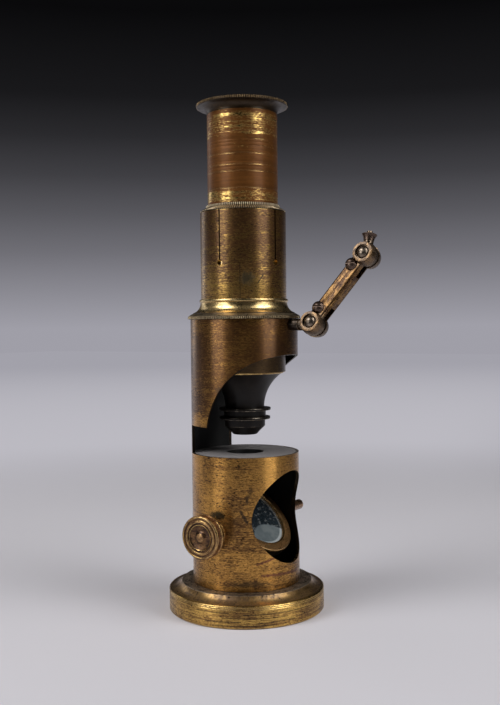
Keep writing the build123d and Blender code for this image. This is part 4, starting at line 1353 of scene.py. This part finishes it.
knob_mesh = spin("knob_turned", knob_outline(), corner=0.15, sides=128, place=knob_place)
for polygon in knob_mesh.polygons:
    depth = knob_face + polygon.center.x / mm
    reach = Vector(polygon.center - knob_middle).yz.length / mm
    if groove_depths[0] < depth < groove_depths[1] and reach < groove_reach:
        polygon.material_index = 2
install("knob_turned", knob_mesh, "mirror_knob", ("knob_face", "edge", "knob_dark"))
mill("knob_milling", "mirror_knob", "knob", place=knob_place, Ribs=knob_ribs, Rim_Radius=knob_side,
     Height=(knob_back + knob_face) / 2, Rib_Radius=knob_rib, Rib_Length=1.8, Lean=0.0)

# %% [markdown]
# The pieces of the jointed arm and the mirror's mount are milled and filed, not turned. Softened copies of
# their solids keep the exact joints: each copy is merged, its flat faces are joined again, and its sharp
# outer edges get a small bevel that the light finds.

# %% Soften the arm, the bushes and the mirror mount
def softened(node, width, sharp=35.0):
    """A copy of a CAD node with its outer edges bevelled in the second finish. Width in millimetres."""
    work = bmesh.new()
    work.from_mesh(nodes[node].data)
    bmesh.ops.remove_doubles(work, verts=work.verts, dist=0.0005 * mm)
    bmesh.ops.dissolve_limit(work, angle_limit=radians(0.5), verts=work.verts, edges=work.edges)
    weight = work.edges.layers.float.new("bevel_weight_edge")
    for edge in work.edges:
        if edge.is_manifold and edge.calc_face_angle_signed(0) > radians(sharp):
            edge[weight] = 1.0
    mesh = mesh_from(work, node + "_soft")
    cover(mesh, ("edge", "edge"))
    piece = put_in_scene(node + "_soft", mesh)
    bevel = piece.modifiers.new("soft_edges", "BEVEL")
    bevel.limit_method = "WEIGHT"
    bevel.width = width * mm
    bevel.segments = 2
    bevel.material = 1
    bevel.use_clamp_overlap = True
    return shaded(finished(piece), 30)


def middle(node):
    low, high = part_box(node)
    return (low + high) / 2


def across_bar(tree, place):
    split = split_xyz(tree, place)
    return calc(tree, "ADD", split["Y"], split["Z"])


bar_start = middle("lower_pivot_pin")
bar_way = middle("upper_pivot_pin") - bar_start
knuckle_reach = (7.5, 7.5, 7.5)
knuckle_tint = (0.165, 0.123, 0.088)
knuckles = [((length, 0, 0), knuckle_reach, 0.15, knuckle_tint, 0.9) for length in (0, bar_way.length / mm)]
brass_finish("bar", "bar_brass", (0.38, 0.215, 0.08), (0.06, 0.027, 0.012), tarnish=0.60, blotch=2.5,
             weights=(0.8, 0.8, 0.5, 1.0), stains=0.3, gloss=(0.30, 0.45), relief=0.25, patches=knuckles,
             position=across_bar, centre=bar_start, turn=bar_way.to_track_quat("X", "Z").to_euler())
soft_pieces = (      # node, bevel, finish, finish of the edges
    ("arm_bar", 0.22, "bar", "arm_edge"), ("arm_stud", 0.12, "arm", "arm_edge"),
    ("lens_spindle", 0.12, "arm", "arm_edge"), ("spindle_cap", 0.12, "screw", "arm"),
    ("clamp_screws", 0.08, "screw", "screw"), ("lower_pivot_pin", 0.05, "steel", "steel"),
    ("upper_pivot_pin", 0.05, "steel", "steel"), ("axle_bushes", 0.12, "drum", "edge"),
    ("stud_bush", 0.12, "arm", "arm_edge"), ("mirror_bezel", 0.12, "bezel", "edge"),
    ("mirror_cell", 0.12, "arm", "edge"), ("mirror_axle", 0.1, "knob", "edge"),
    ("body_tube", 0.3, "body", "edge"), ("stage_ring", 0.1, "black", "black"),
)
for node, width, label, edge_label in soft_pieces:
    install(node + "_soft", softened(node, width), node, (label, edge_label))

# %% [markdown]
# What is left keeps its CAD mesh and only gets its finish: lenses, the silvered mirror, the lead in the
# foot, and small rings inside the tubes.

# %% Finish the CAD pieces that stay
kept_finishes = {
    "foot_weight": "lead", "foot_plate": "foot", "glare_stop": "black", "upper_objective_lens": "glass",
    "lower_objective_lens": "glass", "draw_tube_ferrule": "tube", "eyepiece_tube": "tube",
    "eye_lens": "glass", "eye_lens_ring": "milled", "field_stop": "black", "field_lens": "glass",
    "field_lens_ring": "milled", "mirror_set_screw": "steel", "mirror_glass": "silver", "stud_nut": "arm",
}
for node, label in kept_finishes.items():
    nodes[node].material_slots[0].material = finish[label]
print("kept CAD pieces", len(kept_finishes))
